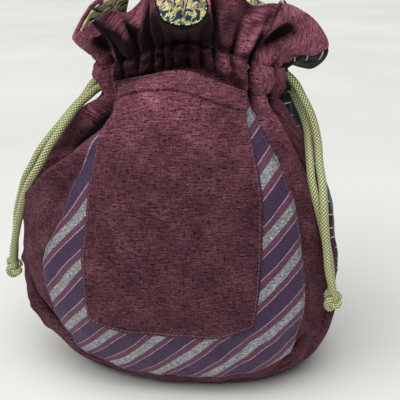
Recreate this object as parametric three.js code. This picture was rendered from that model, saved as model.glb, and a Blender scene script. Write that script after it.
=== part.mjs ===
// A kinchaku: a soft, round-bellied drawstring pouch of sewn cloth, standing open-necked.
// Units are millimetres, +Z is up, the front faces -Y, and the origin is under the middle of the base.
//
// Every cloth piece lies on one shape, skin(angle, height). The angle runs round the pouch in degrees,
// 0 at the front and 90 at the right side. The height is a row number of PROFILE: 0 is the edge of the
// flat base, 9 and 10 are the two casing seams, and 10 to 11 is the ruffle, out to its free edge.
import * as THREE from 'three';

// ---- driving dimensions ----
const CLOTH = 1.2;            // outer cloth with its padding
const LINING_CLOTH = 0.8;
const PATCH_GAP = 0.8;        // air between a patch and the cloth that it is sewn on
const SEAM_GAP = 0.35;        // air between two panels that a seam joins
const LINING_GAP = 1.5;       // air between the outer cloth and the lining in the belly
const RUFFLE_GAP = 3.0;       // the same in the ruffle
const CHANNEL_DEPTH = 7.2;    // the same in the casing, where the cords run
const POCKET_GAPE = 10.5;     // how far the pocket's mouth stands open
const CORD_DIAMETER = 4.6;
const NECK_DROOP = 16;        // how much lower the neck's two ends hang than its middle
const ROUNDNESS = 2.35;       // 2 is an ellipse, more is squarer
const NECK_ROW = 10;
const RUFFLE_EDGE = 11;

// Rows of [z, half width, depth to the front, depth to the back, middle x, share of the neck's droop].
const PROFILE = [
  [0, 57, 31, 34, 8, 0],
  [5, 69, 42, 44, 8, 0],
  [18, 83, 53, 53, 6, 0],
  [40, 93, 60, 60, 3, 0],
  [65, 96, 62, 62, 1, 0],
  [95, 94.5, 59, 59, -0.5, 0],
  [125, 88.5, 52, 51, -0.5, 0.25],
  [150, 78, 43, 42, 0, 0.6],
  [171, 64, 35, 34, 3, 0.9],
  [188, 52, 29, 28, 8, 1],
  [205, 51, 28, 27, 8, 1],
];

// The ruffle's free edge, anticlockwise from above: [angle at the neck, x, y, z]. It falls in bell-shaped
// lobes: one at the front, a big one to the right, one front left, and three smaller ones behind.
const RUFFLE = [
  [-180, 8, 65, 207], [-172, -4, 62, 206], [-162, -12, 48, 215], [-154, -15, 37, 219],
  [-147, -20, 40, 214], [-139, -31, 50, 203], [-130, -47, 46, 196], [-120, -52, 32, 197],
  [-112, -40, 20, 212], [-104, -29, 6, 225], [-95, -36, 1, 221], [-86, -46, -10, 215],
  [-75, -50, -38, 207], [-62, -39, -44, 214], [-50, -29, -37, 220], [-43, -22, -31, 219],
  [-38, -15, -29, 225], [-33, -10, -36, 232], [-27, -6, -50, 228], [-16, 0, -60, 218],
  [-3, 10, -64, 215], [10, 20, -62, 217], [20, 24, -56, 224], [26, 22, -47, 231],
  [32, 27, -40, 234], [38, 35, -36, 231], [45, 43, -28, 223], [54, 52, -26, 224],
  [64, 62, -24, 224], [74, 73, -24, 218], [82, 80, -21, 207], [88, 82, -12, 195],
  [94, 82, 0, 187], [100, 80, 11, 188], [106, 74, 19, 203], [112, 66, 23, 216],
  [118, 60, 28, 221], [125, 62, 36, 216], [133, 62, 47, 207], [142, 50, 54, 208],
  [151, 37, 46, 218], [160, 29, 40, 221], [168, 22, 50, 215],
];

// Seams, as [height, angle]: where the front panel and the back panel end at each side.
const FRONT_SEAM = [
  [2.8, 70], [4, 74], [5, 73], [6, 72.5], [7, 70.5], [8, 68], [9, 64], [10, 61], [11, 60],
];
const BACK_SEAM = [
  [3.2, 98], [4, 87], [5, 81], [6, 80], [7, 83], [8, 84], [9, 84], [10, 84], [11, 88],
];
const FRONT_HEM = { middle: 1.2, corner: 2.8 };
const BACK_HEM = { middle: 1.2, corner: 3.2 };
const CORD_SLIT = { low: 9.0, high: 10.0, ramp: 0.08, ahead: 3.5, behind: 15.5 };

// The patches' edges, as [height, angle], on the left and on the right.
const BAND_LEFT = [
  [2.3, -50], [3.2, -56], [4.5, -59], [5.5, -52], [6.7, -50], [7.7, -52], [8.3, -55], [9.1, -58],
];
const BAND_RIGHT = [
  [2.3, 57], [3.5, 60], [5.5, 61.5], [7, 61], [8.2, 58], [9.1, 52],
];
const POCKET_LEFT = [
  [3.4, -39], [4.5, -41], [6, -39], [7, -41], [7.8, -47], [8.6, -54], [9.3, -58],
];
const POCKET_RIGHT = [
  [3.4, 39], [4.5, 43], [6, 49], [7, 51], [8.5, 48], [9.3, 47],
];
const BAND_FOOT = { middle: 1.85, corner: 2.6 };
const POCKET_FOOT = { middle: 3.3, corner: 3.55 };
const BAND_TOP = 9.05;
const POCKET_TOP = 9.3;

// ---- the cords: each runs from its knot up into the casing, all the way round, and back to the knot ----
const RIGHT_ROUTE = [
  [92, -39, 72], [90, -39, 79], [88, -38, 93], [86, -38, 107], [85, -36.5, 118], [84, -31, 128],
  [82, -24, 139], [81, -19, 148], [79, -16, 157], [76, -13, 165], [72, -10, 172], [67, -6, 180],
  [61, -3.2, 184.6], [55.3, -5.8, 186], [48.4, -13.4, 187.3], [33, -21, 193], [8, -23.6, 201.3],
  [-17, -21, 193], [-32.5, -13, 187], [-38.6, 0, 185.4], [-32.5, 12.4, 187], [-17, 20.2, 193],
  [8, 22.6, 201.3], [33, 20.2, 192], [48.4, 12.6, 183.6], [55.3, 5, 180.8], [61, 2, 179.8],
  [65.5, 0, 174.5], [69.5, -3, 167.5], [72.5, -6, 162], [75, -11, 155], [76, -16, 146],
  [77, -23.5, 137], [78, -28, 130], [80.5, -31.5, 121], [83.5, -32.5, 111], [86.5, -32.5, 100],
  [89.5, -32.5, 88], [92, -33, 72],
];
const LEFT_ROUTE = [
  [-102, -12, 73], [-101, -13, 80], [-99, -14, 89], [-97, -15, 100], [-93, -17, 112],
  [-88, -20, 124], [-83, -21, 132], [-78.5, -20, 140], [-72.5, -18, 148], [-66, -16, 155.5],
  [-60, -11, 163], [-54, -7, 169.5], [-49.5, -2, 176.5], [-45, 1.4, 180], [-39.3, 5, 180.4],
  [-32.5, 12.4, 179], [-17, 20.2, 183.2], [8, 22.6, 191.6], [33, 20.2, 183.2],
  [48.4, 12.6, 177.4], [54.6, 0, 175.6], [48.4, -13.4, 177.4], [33, -21, 183.2],
  [8, -23.6, 191.6], [-17, -21, 183.2], [-32.5, -13, 177.4], [-39.6, -5.8, 175.7],
  [-45, -4.2, 174.8], [-50.5, -10, 170.8], [-56, -16, 165.5], [-61, -19.5, 158.5],
  [-66, -23.5, 151], [-70.5, -27.5, 144], [-76, -30, 134], [-83, -29, 123.5], [-88, -26, 113],
  [-93, -21.5, 101], [-96.5, -19.5, 91], [-99, -18.5, 82], [-101, -18, 73],
];
const RIGHT_KNOT = [93, -36.5, 61.5];
const LEFT_KNOT = [-102.5, -15, 62.5];
const KNOT_SIZE = [7, 6.5, 9];

// ---- finishes: sRGB colour, roughness ----
const FINISHES = {
  plum: [0x5d3640, 0.9],
  brocade: [0x574260, 0.7],
  backCloth: [0x1c1e22, 0.9],
  lining: [0x8c8a6a, 0.85],
  cord: [0x9a9975, 0.7],
};

/** A smooth curve through equally spaced rows of numbers, at a row number that may have a fraction. */
function rowAt(rows, place) {
  const clamped = Math.min(Math.max(place, 0), rows.length - 1);
  const start = Math.min(Math.floor(clamped), rows.length - 2);
  const f = clamped - start;
  const pick = (i) => rows[Math.min(Math.max(i, 0), rows.length - 1)];
  const [a, b, c, d] = [pick(start - 1), pick(start), pick(start + 1), pick(start + 2)];
  return b.map((_, k) => 0.5 * (2 * b[k] + (c[k] - a[k]) * f
    + (2 * a[k] - 5 * b[k] + 4 * c[k] - d[k]) * f * f
    + (3 * b[k] - a[k] - 3 * c[k] + d[k]) * f * f * f));
}

/** The second number of a table of [height, value] pairs at a height, in straight steps. */
function along(table, height) {
  if (height <= table[0][0]) return table[0][1];
  for (let i = 1; i < table.length; i += 1) {
    const [h0, v0] = table[i - 1];
    const [h1, v1] = table[i];
    if (height <= h1) return v0 + (v1 - v0) * (height - h0) / (h1 - h0);
  }
  return table[table.length - 1][1];
}

const smooth = (low, high, value) => THREE.MathUtils.smoothstep(value, low, high);

/** How many times the outline of a profile row holds the point x, y: below 1 is inside. */
function outlineRatio(row, x, y) {
  const [, halfWidth, front, back, middle] = row;
  const depth = y < 0 ? front : back;
  return (Math.abs(x - middle) / halfWidth) ** ROUNDNESS + (Math.abs(y) / depth) ** ROUNDNESS;
}

/** The body's surface at an angle in degrees and a profile height up to the neck. */
function body(angle, height) {
  const row = rowAt(PROFILE, Math.max(height, 0));
  const [z, , , , middle, droop] = row;
  const turn = THREE.MathUtils.degToRad(angle);
  const across = Math.sin(turn);
  const forward = Math.cos(turn);
  const radius = outlineRatio(row, middle + across, -forward) ** (-1 / ROUNDNESS);
  const shrink = height < 0 ? 1 + height : 1;
  return new THREE.Vector3(middle + radius * across * shrink, -radius * forward * shrink,
    z - NECK_DROOP * droop * across * across);
}

/** The ruffle's free edge above an angle at the neck. */
function ruffleEdge(angle) {
  const count = RUFFLE.length;
  const wrapped = ((angle + 180) % 360 + 360) % 360 - 180;
  let i = count - 1;
  while (RUFFLE[i][0] > wrapped) i -= 1;
  const node = (k) => {
    const point = RUFFLE[(k + count) % count];
    return [point[0] + 360 * Math.floor(k / count), point[1], point[2], point[3]];
  };
  const quad = [node(i - 1), node(i), node(i + 1), node(i + 2)];
  const f = (wrapped - quad[1][0]) / (quad[2][0] - quad[1][0]);
  const [, x, y, z] = rowAt(quad, 1 + f);
  return new THREE.Vector3(x, y, z);
}

/** The ruffle, which leaves the neck upwards and arches out to its free edge; t runs from 0 to 1. */
function ruffle(angle, t) {
  const root = body(angle, NECK_ROW);
  const edge = ruffleEdge(angle);
  const span = root.distanceTo(edge);
  const rise = root.clone().add(new THREE.Vector3(0, 0, 0.42 * span));
  const inbound = edge.clone().sub(rise).multiplyScalar(0.55);
  const bend = edge.clone().sub(inbound);
  return new THREE.CubicBezierCurve3(root, rise, bend, edge).getPoint(t);
}

/** The whole outer skin, before any offset. */
function skin(angle, height) {
  return height > NECK_ROW ? ruffle(angle, height - NECK_ROW) : body(angle, height);
}

/** The skin moved along its own normal, outwards for a positive distance. */
function offsetSkin(angle, height, distance) {
  const high = Math.min(height + 0.02, RUFFLE_EDGE);
  const low = Math.max(height - 0.02, -0.98);
  const round = skin(angle + 0.5, height).sub(skin(angle - 0.5, height));
  const up = skin(angle, high).sub(skin(angle, low));
  const normal = round.cross(up).normalize();
  if (height < -0.9) normal.set(0, 0, -1);
  return skin(angle, height).addScaledVector(normal, distance);
}

/** The height of the pouch's underside at x, y. */
function underside(x, y) {
  if (outlineRatio(PROFILE[0], x, y) <= 1) return 0;
  let low = 0;
  let high = 4;
  for (let i = 0; i < 30; i += 1) {
    const middle = (low + high) / 2;
    if (outlineRatio(rowAt(PROFILE, middle), x, y) > 1) low = middle;
    else high = middle;
  }
  return rowAt(PROFILE, low)[0];
}

/** A closed solid between two equal grids of points: the outer face looks out of the pouch. */
function sheetSolid(outer, inner) {
  const rows = outer.length;
  const columns = outer[0].length;
  const positions = [];
  const triangle = (a, b, c) => {
    const flat = a.distanceTo(b) < 1e-4 || b.distanceTo(c) < 1e-4 || c.distanceTo(a) < 1e-4;
    if (!flat) positions.push(...a.toArray(), ...b.toArray(), ...c.toArray());
  };
  const quad = (a, b, c, d) => {
    triangle(a, b, c);
    triangle(a, c, d);
  };
  for (let i = 0; i + 1 < rows; i += 1) {
    for (let j = 0; j + 1 < columns; j += 1) {
      quad(outer[i][j], outer[i][j + 1], outer[i + 1][j + 1], outer[i + 1][j]);
      quad(inner[i][j], inner[i + 1][j], inner[i + 1][j + 1], inner[i][j + 1]);
    }
    quad(outer[i][0], outer[i + 1][0], inner[i + 1][0], inner[i][0]);
    quad(outer[i + 1][columns - 1], outer[i][columns - 1], inner[i][columns - 1], inner[i + 1][columns - 1]);
  }
  for (let j = 0; j + 1 < columns; j += 1) {
    quad(outer[0][j + 1], outer[0][j], inner[0][j], inner[0][j + 1]);
    quad(outer[rows - 1][j], outer[rows - 1][j + 1], inner[rows - 1][j + 1], inner[rows - 1][j]);
  }
  const geometry = new THREE.BufferGeometry();
  geometry.setAttribute('position', new THREE.Float32BufferAttribute(positions, 3));
  geometry.computeVertexNormals();
  return geometry;
}

const span = (from, to, steps) => Array.from({ length: steps + 1 }, (_, i) => from + (to - from) * i / steps);

/** A solid of cloth over a grid of [angle, height] places, from one offset to a deeper one. */
function clothSolid(places, outerOffset, innerOffset) {
  const layer = (offset) => places.map((line) => line.map(([angle, height, extra = 0]) => (
    offsetSkin(angle, height, offset + extra))));
  return sheetSolid(layer(outerOffset), layer(innerOffset));
}

/** The angle, in degrees, of a length round the pouch's side at a height. */
function degreesFor(length, height) {
  const row = Math.min(height, NECK_ROW);
  return length / body(75, row).distanceTo(body(74, row));
}

const UPPER_ROWS = [4.3, 5.1, 5.9, 6.6, 7.3, 7.9, 8.5, 9, 9.08, 9.5, 9.92, 10, 10.12, 10.3, 10.5, 10.75, 11];
const LOWER_STEPS = 4;
const JOIN_ROW = 3.5;
const HEM_STEP = 0.08;        // the seam gap at the panels' feet, in rows of PROFILE

/** The heights of a panel's rows, from its curved hem to the ruffle's edge, at a place across it. */
function panelHeights(hem, side) {
  const foot = hem.middle + (hem.corner - hem.middle) * side ** 4;
  return [...span(foot, JOIN_ROW, LOWER_STEPS), ...UPPER_ROWS];
}

/** How far the casing's seam is left open for the cords, 0 to 1. */
function slitAt(height) {
  return Math.min(smooth(CORD_SLIT.low, CORD_SLIT.low + CORD_SLIT.ramp, height),
    1 - smooth(CORD_SLIT.high - CORD_SLIT.ramp, CORD_SLIT.high, height));
}

/** The three edges that meet at the side seams, as angles on the right side. */
const frontEdge = (height) => along(FRONT_SEAM, height) - degreesFor(SEAM_GAP / 2, height);
const backEdge = (height) => along(BACK_SEAM, height) + degreesFor(SEAM_GAP / 2, height)
  + CORD_SLIT.behind * slitAt(height);
const gussetEdges = (height, backHeight) => [
  along(FRONT_SEAM, height) + degreesFor(SEAM_GAP / 2, height),
  along(BACK_SEAM, backHeight) - degreesFor(SEAM_GAP / 2, backHeight) - CORD_SLIT.ahead * slitAt(backHeight),
];

function frontPanel() {
  const columns = span(-1, 1, 24);
  const count = panelHeights(FRONT_HEM, 0).length;
  const places = Array.from({ length: count }, (_, i) => columns.map((u) => {
    const height = panelHeights(FRONT_HEM, Math.abs(u))[i];
    return [u * frontEdge(height), height];
  }));
  return clothSolid(places, 0, -CLOTH);
}

function backPanel() {
  const columns = span(-1, 1, 28);
  const count = panelHeights(BACK_HEM, 0).length;
  const places = Array.from({ length: count }, (_, i) => columns.map((u) => {
    const height = panelHeights(BACK_HEM, Math.abs(u))[i];
    return [180 + u * (180 - backEdge(height)), height];
  }));
  return clothSolid(places, 0, -CLOTH);
}

/** The U-shaped strip between the two panels: down the left side, under the base and up the right. */
function gusset() {
  const crossings = [0, 0.05, 0.11, 0.2, 0.35, 0.5, 0.65, 0.8, 0.89, 0.95, 1];
  const frontHeights = panelHeights(FRONT_HEM, 1);
  const backHeights = panelHeights(BACK_HEM, 1);
  const across = (side, front, back) => crossings.map((c) => (
    skin(side * (front[0] + (back[0] - front[0]) * c), front[1] + (back[1] - front[1]) * c)));
  const arm = (side) => frontHeights.slice(1).map((height, i) => {
    const [from, to] = gussetEdges(height, backHeights[i + 1]);
    return across(side, [from, height], [to, backHeights[i + 1]]);
  });
  const base = span(-1, 1, 26).map((u) => {
    const side = Math.abs(u);
    const sign = u < 0 ? -1 : 1;
    const [from, to] = gussetEdges(frontHeights[0], backHeights[0]);
    const front = [side * from, panelHeights(FRONT_HEM, side)[0] - HEM_STEP];
    const back = [180 - side * (180 - to), panelHeights(BACK_HEM, side)[0] - HEM_STEP];
    const chordStart = body(sign * front[0], front[1]);
    const chordEnd = body(sign * back[0], back[1]);
    return across(sign, front, back).map((arc, i) => {
      const point = chordStart.clone().lerp(chordEnd, crossings[i]).lerp(arc, side ** 6);
      point.z = underside(point.x, point.y);
      return point;
    });
  });
  const line = [...arm(-1).reverse(), ...base, ...arm(1)];
  return sheetSolid(line, insideOf(line, CLOTH));
}

/** A grid moved inwards along normals read from the grid itself. */
function insideOf(grid, distance) {
  const last = grid.length - 1;
  const end = grid[0].length - 1;
  return grid.map((row, i) => row.map((point, j) => {
    const upward = grid[Math.min(i + 1, last)][j].clone().sub(grid[Math.max(i - 1, 0)][j]);
    const around = row[Math.min(j + 1, end)].clone().sub(row[Math.max(j - 1, 0)]);
    const normal = around.cross(upward).normalize();
    return point.clone().addScaledVector(normal, -distance);
  }));
}

/** A patch sewn on the front panel, between two edges and over a curved foot. */
function patch({ left, right, foot, top, columns, rows, lift, thickness, gape }) {
  const places = span(0, 1, rows).map((v) => span(-1, 1, columns).map((u) => {
    const bottom = foot.middle + (foot.corner - foot.middle) * u ** 4;
    const height = bottom + (top - bottom) * v;
    const from = along(left, height);
    const to = along(right, height);
    const open = gape * smooth(0.3, 1, v) * (1 - u * u) ** 0.6;
    return [from + (to - from) * (u + 1) / 2, height, open];
  }));
  return clothSolid(places, lift + thickness, lift);
}

const brocadePanel = () => patch({
  left: BAND_LEFT, right: BAND_RIGHT, foot: BAND_FOOT, top: BAND_TOP, columns: 16, rows: 12,
  lift: PATCH_GAP, thickness: 0.8, gape: 0,
});

const pocket = () => patch({
  left: POCKET_LEFT, right: POCKET_RIGHT, foot: POCKET_FOOT, top: POCKET_TOP, columns: 14, rows: 12,
  lift: 2 * PATCH_GAP + 0.8, thickness: 1.4, gape: POCKET_GAPE,
});

/** How far inside the skin the lining's outer face runs, at a height. */
function liningDepth(height) {
  const belly = CLOTH + LINING_GAP;
  const channel = CLOTH + CHANNEL_DEPTH;
  const edge = CLOTH + RUFFLE_GAP;
  if (height < NECK_ROW) return belly + (channel - belly) * smooth(7.6, 8.8, height);
  return channel + (edge - channel) * smooth(NECK_ROW + 0.02, NECK_ROW + 0.5, height);
}

/** One half of the lining bag: side +1 is the front half, -1 the back half. */
function liningHalf(side) {
  const heights = [-1, -0.5, 0, 0.6, 1.2, 2, 2.8, 3.5, ...UPPER_ROWS];
  const middle = side > 0 ? 0 : 180;
  const places = heights.map((height) => span(-1, 1, 28).map((u) => [middle + u * 89.6, height]));
  const apart = new THREE.Vector3(0, -side * SEAM_GAP / 2, 0);
  const layer = (extra) => places.map((row) => row.map(([angle, height]) => (
    offsetSkin(angle, height, -liningDepth(height) - extra).add(apart))));
  return sheetSolid(layer(0), layer(LINING_CLOTH));
}

/** A round cord along a route. */
function cordTube(route) {
  const points = route.map((point) => new THREE.Vector3(...point));
  const path = new THREE.CatmullRomCurve3(points, false, 'centripetal');
  const section = new THREE.Shape(span(0, 2 * Math.PI, 8).slice(0, -1).map((turn) => (
    new THREE.Vector2(Math.cos(turn), Math.sin(turn)).multiplyScalar(CORD_DIAMETER / 2))));
  return new THREE.ExtrudeGeometry(section, { steps: 76, bevelEnabled: false, extrudePath: path });
}

/** The room that one knot of the doubled cord takes up. */
function knotSolid([x, y, z]) {
  const profile = span(0, Math.PI, 8).map((turn) => new THREE.Vector2(Math.sin(turn), -Math.cos(turn)));
  profile[0].x = 0;
  profile[profile.length - 1].x = 0;
  const geometry = new THREE.LatheGeometry(profile, 12);
  geometry.rotateX(Math.PI / 2);
  geometry.scale(...KNOT_SIZE);
  geometry.translate(x, y, z);
  return geometry;
}

const group = new THREE.Group();

function add(name, geometry, finish) {
  const [color, roughness] = FINISHES[finish];
  const mesh = new THREE.Mesh(geometry, new THREE.MeshStandardMaterial({ color, roughness, metalness: 0 }));
  mesh.name = name;
  group.add(mesh);
}

add('front_panel', frontPanel(), 'plum');
add('gusset', gusset(), 'plum');
add('back_panel', backPanel(), 'backCloth');
add('brocade_panel', brocadePanel(), 'brocade');
add('pocket', pocket(), 'plum');
add('lining_front', liningHalf(1), 'lining');
add('lining_back', liningHalf(-1), 'lining');
add('drawcord_left', cordTube(LEFT_ROUTE), 'cord');
add('drawcord_right', cordTube(RIGHT_ROUTE), 'cord');
add('knot_left', knotSolid(LEFT_KNOT), 'cord');
add('knot_right', knotSolid(RIGHT_KNOT), 'cord');

export default group;
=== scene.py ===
"""A kinchaku: a soft, round-bellied drawstring pouch of sewn cloth, standing open-necked.

Every cloth piece lies on one form, read by angle and height. The angle runs round the pouch in
degrees, 0 at the front and 90 at the right side. The height is a row number of PROFILE: 0 is the
edge of the flat base, 9 and 10 are the two casing seams, and 10 to 11 is the ruffle, out to its
free edge. The form is worked in millimetres, and meshes are made in metres.
"""

from __future__ import annotations

import logging
import math
from dataclasses import dataclass, field
from enum import Enum

import bpy
import numpy as np
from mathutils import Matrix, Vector, noise


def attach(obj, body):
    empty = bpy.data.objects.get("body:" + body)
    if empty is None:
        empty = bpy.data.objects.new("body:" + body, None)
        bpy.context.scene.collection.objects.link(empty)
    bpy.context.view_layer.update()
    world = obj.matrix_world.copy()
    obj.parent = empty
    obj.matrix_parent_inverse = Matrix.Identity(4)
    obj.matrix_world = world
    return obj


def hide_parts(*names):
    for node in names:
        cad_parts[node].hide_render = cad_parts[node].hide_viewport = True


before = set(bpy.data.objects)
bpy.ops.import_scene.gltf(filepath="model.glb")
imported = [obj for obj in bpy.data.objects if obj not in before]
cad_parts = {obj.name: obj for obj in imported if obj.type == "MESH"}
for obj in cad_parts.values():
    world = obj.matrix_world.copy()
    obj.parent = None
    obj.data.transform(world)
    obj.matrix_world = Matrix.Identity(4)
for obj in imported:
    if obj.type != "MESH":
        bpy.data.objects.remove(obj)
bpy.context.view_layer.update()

log = logging.getLogger("kinchaku")

MM = 0.001
BODY = "root"
UV_NAME = "Cloth"
CROWN_NAME = "crown"
# The painted shade, one value for each vertex: darker in the cloth's folds and under the ruffle.
PAINTED_SHADE_NAME = "hollow"
NECK_ROW = 10.0
RUFFLE_EDGE = 11.0
ROUNDNESS = 2.35
NECK_DROOP = 16.0
SEAM_GAP = 0.35
CLOTH = 1.2
CORD_DIAMETER = 4.6
# How many rows of faces the panels have under their foot's bend, up to the neck, and beyond it.
LOW_ROWS, HIGH_ROWS, FRILL_ROWS = 32, 116, 44
# Each panel's and patch's foot, as its height in the middle and at the corners.
FRONT_HEM = (1.2, 2.8)
BACK_HEM = (1.2, 3.2)
BAND_FOOT = (1.85, 2.6)
POCKET_FOOT = (3.3, 3.55)
BAND_TOP = 8.82
POCKET_TOP = 9.05
# Where the pocket's hem is sewn, as a share of its height.
HEM_LINE = 0.88
# The settings that nodes share.
TIMES = {"operation": "MULTIPLY"}
TIMES_PLUS = {"operation": "MULTIPLY_ADD"}
COLOURS = {"data_type": "RGBA"}
DYED = {"data_type": "RGBA", "blend_type": "MULTIPLY"}
SMOOTH = {"interpolation_type": "SMOOTHSTEP"}

Array = np.ndarray
Table = tuple[tuple[float, ...], ...]

# Rows of z, half width, depth to the front, depth to the back, middle x, share of the neck's droop.
PROFILE: Table = (
    (0, 57, 31, 34, 8, 0), (5, 69, 42, 44, 8, 0), (18, 83, 53, 53, 6, 0), (40, 93, 60, 60, 3, 0),
    (65, 96, 62, 62, 1, 0), (95, 94.5, 59, 59, -0.5, 0), (125, 88.5, 52, 51, -0.5, 0.25),
    (150, 78, 43, 42, 0, 0.6), (171, 64, 35, 34, 3, 0.9), (188, 52, 29, 28, 8, 1),
    (205, 51, 28, 27, 8, 1),
)
# The ruffle's free edge, anticlockwise from above: angle at the neck, x, y, z.
RUFFLE: Table = (
    (-180, 8, 65, 207), (-172, -4, 62, 206), (-162, -12, 48, 215), (-154, -15, 37, 219),
    (-147, -20, 40, 214), (-139, -31, 50, 203), (-130, -47, 46, 196), (-120, -52, 32, 197),
    (-112, -40, 20, 214), (-104, -30, 6, 228), (-95, -37, 1, 227), (-86, -47, -10, 221),
    (-75, -50, -38, 207), (-62, -39, -44, 214), (-50, -29, -37, 220), (-43, -22, -31, 219),
    (-38, -15, -29, 225), (-33, -10, -36, 232), (-27, -6, -50, 228), (-16, 0, -60, 218),
    (-3, 10, -64, 215), (10, 20, -62, 217), (20, 24, -56, 224), (26, 22, -47, 231),
    (32, 27, -40, 234), (38, 35, -36, 231), (45, 43, -28, 223), (54, 52, -26, 224),
    (64, 62, -24, 224), (74, 73, -24, 218), (82, 81, -21, 208), (88, 84, -12, 200),
    (94, 81, -2, 190), (100, 73, 8, 186), (106, 67, 17, 199), (112, 64, 23, 214),
    (118, 60, 28, 221), (125, 62, 36, 216), (133, 62, 47, 207), (142, 50, 54, 208),
    (151, 37, 46, 218), (160, 29, 40, 221), (168, 22, 50, 215),
)
# Seams, as height and angle: where the front panel and the back panel end at each side.
FRONT_SEAM: Table = (
    (2.8, 70), (4, 74), (5, 73), (6, 72.5), (7, 70.5), (8, 68), (9, 64), (10, 61), (11, 60),
)
BACK_SEAM: Table = (
    (3.2, 98), (4, 87), (5, 81), (6, 80), (7, 83), (8, 84), (9, 84), (10, 84), (11, 88),
)
# The patches' edges, as height and angle.
BAND_LEFT: Table = (
    (2.3, -50), (3.2, -56), (4.5, -59), (5.5, -52), (6.7, -50), (7.7, -52), (8.3, -55), (9.1, -58),
)
BAND_RIGHT: Table = ((2.3, 57), (3.5, 60), (5.5, 61.5), (7, 61), (8.2, 58), (9.1, 52))
POCKET_LEFT: Table = (
    (3.4, -37.5), (4.5, -39), (5.5, -40), (6.2, -42), (7, -45), (7.8, -50), (8.6, -56), (9.3, -60),
)
POCKET_RIGHT: Table = ((3.4, 39), (4.5, 43), (6, 48.5), (7, 51.5), (8.2, 51.5), (9.3, 53))
# The cords' routes, from knot to knot round the casing.
RIGHT_ROUTE: Table = (
    (92, -39, 72), (90, -39, 79), (88, -38, 93), (86, -38, 107), (85, -36.5, 118), (84, -31, 128),
    (82, -24, 139), (81, -19, 148), (79, -16, 157), (76, -13, 165), (72, -10, 172), (67, -6, 180),
    (61, -3.2, 184.6), (55.3, -5.8, 186), (48.4, -13.4, 187.3), (33, -21, 193), (8, -23.6, 201.3),
    (-17, -21, 193), (-32.5, -13, 187), (-38.6, 0, 185.4), (-32.5, 12.4, 187), (-17, 20.2, 193),
    (8, 22.6, 201.3), (33, 20.2, 192), (48.4, 12.6, 183.6), (55.3, 5, 180.8), (61, 2, 179.8),
    (65.5, 0, 174.5), (69.5, -3, 167.5), (72.5, -6, 162), (75, -11, 155), (76, -16, 146),
    (77, -23.5, 137), (78, -28, 130), (80.5, -31.5, 121), (83.5, -32.5, 111), (86.5, -32.5, 100),
    (89.5, -32.5, 88), (92, -33, 72),
)
LEFT_ROUTE: Table = (
    (-102, -12, 73), (-101, -13, 80), (-99, -14, 89), (-97, -15, 100), (-93, -17, 112),
    (-88, -20, 124), (-83, -21, 132), (-78.5, -20, 140), (-72.5, -18, 148), (-66, -16, 155.5),
    (-60, -11, 163), (-54, -7, 169.5), (-49.5, -2, 176.5), (-45, 1.4, 180), (-39.3, 5, 180.4),
    (-32.5, 12.4, 179), (-17, 20.2, 183.2), (8, 22.6, 191.6), (33, 20.2, 183.2),
    (48.4, 12.6, 177.4), (54.6, 0, 175.6), (48.4, -13.4, 177.4), (33, -21, 183.2),
    (8, -23.6, 191.6), (-17, -21, 183.2), (-32.5, -13, 177.4), (-39.6, -5.8, 175.7),
    (-45, -4.2, 174.8), (-50.5, -10, 170.8), (-56, -16, 165.5), (-61, -19.5, 158.5),
    (-66, -23.5, 151), (-70.5, -27.5, 144), (-76, -30, 134), (-83, -29, 123.5), (-88, -26, 113),
    (-93, -21.5, 101), (-96.5, -19.5, 91), (-99, -18.5, 82), (-101, -18, 73),
)
RIGHT_KNOT = (93.0, -36.5, 61.5)
LEFT_KNOT = (-102.5, -15.0, 62.5)
# The middles and half widths, in degrees, of the ruffle's bell-shaped lobes, which have no pleats.
LOBES: Table = ((-4, 17), (76, 13), (-70, 13), (128, 8), (152, 7), (-176, 9), (-128, 9), (96, 8))


class Side(Enum):
    """The pouch's two sides, by the sign of their angles."""

    LEFT = -1
    RIGHT = 1


# ---- small helpers ----


def linear(colour: str) -> tuple[float, float, float, float]:
    """An sRGB hex colour as linear RGBA.

    Args:
        colour: Six hex digits, with or without a hash mark.

    Returns:
        Linear red, green and blue, with alpha 1.
    """
    digits = colour.lstrip("#")
    parts = [int(digits[i : i + 2], 16) / 255 for i in (0, 2, 4)]
    red, green, blue = (c / 12.92 if c <= 0.04045 else ((c + 0.055) / 1.055) ** 2.4 for c in parts)
    return red, green, blue, 1.0


def add_node(
    tree: bpy.types.NodeTree,
    kind: str,
    settings: dict[str, object] | None = None,
    inputs: dict[object, object] | None = None,
    stops: tuple[tuple[float, str], ...] = (),
) -> bpy.types.Node:
    """Adds one node with its settings, links and ramp colours.

    Args:
        tree: The node tree to add to.
        kind: The node's type name, without the ShaderNode that they all begin with.
        settings: Properties of the node.
        inputs: Socket names or numbers, each with a value or a (node, output) pair to link.
        stops: A colour ramp's positions and hex colours.

    Returns:
        The new node.
    """
    made = tree.nodes.new(f"ShaderNode{kind}")
    for key, value in (settings or {}).items():
        setattr(made, key, value)
    for key, value in (inputs or {}).items():
        if isinstance(value, tuple) and isinstance(value[0], bpy.types.Node):
            tree.links.new(value[0].outputs[value[1]], made.inputs[key])
        else:
            made.inputs[key].default_value = value
    if stops:
        ramp = made.color_ramp
        while len(ramp.elements) < len(stops):
            ramp.elements.new(1.0)
        for element, (place, colour) in zip(ramp.elements, stops):
            element.position = place
            element.color = linear(colour)
    return made


def smoothstep(low: float, high: float, value: Array | float) -> Array:
    """An even rise from 0 at low to 1 at high."""
    x = np.clip((np.asarray(value, float) - low) / (high - low), 0, 1)
    return x * x * (3 - 2 * x)


def bell(x: Array) -> Array:
    """A bell curve, 1 at 0 and nearly gone at 2."""
    return np.exp(-(x**2))


def half_turn(angle: Array) -> Array:
    """Angles brought to between -180 and 180 degrees."""
    return (angle + 180) % 360 - 180


def run_lengths(path: Array) -> Array:
    """How far along a path each of its points lies."""
    return np.concatenate([[0], np.cumsum(np.linalg.norm(np.diff(path, axis=0), axis=1))])


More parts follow.
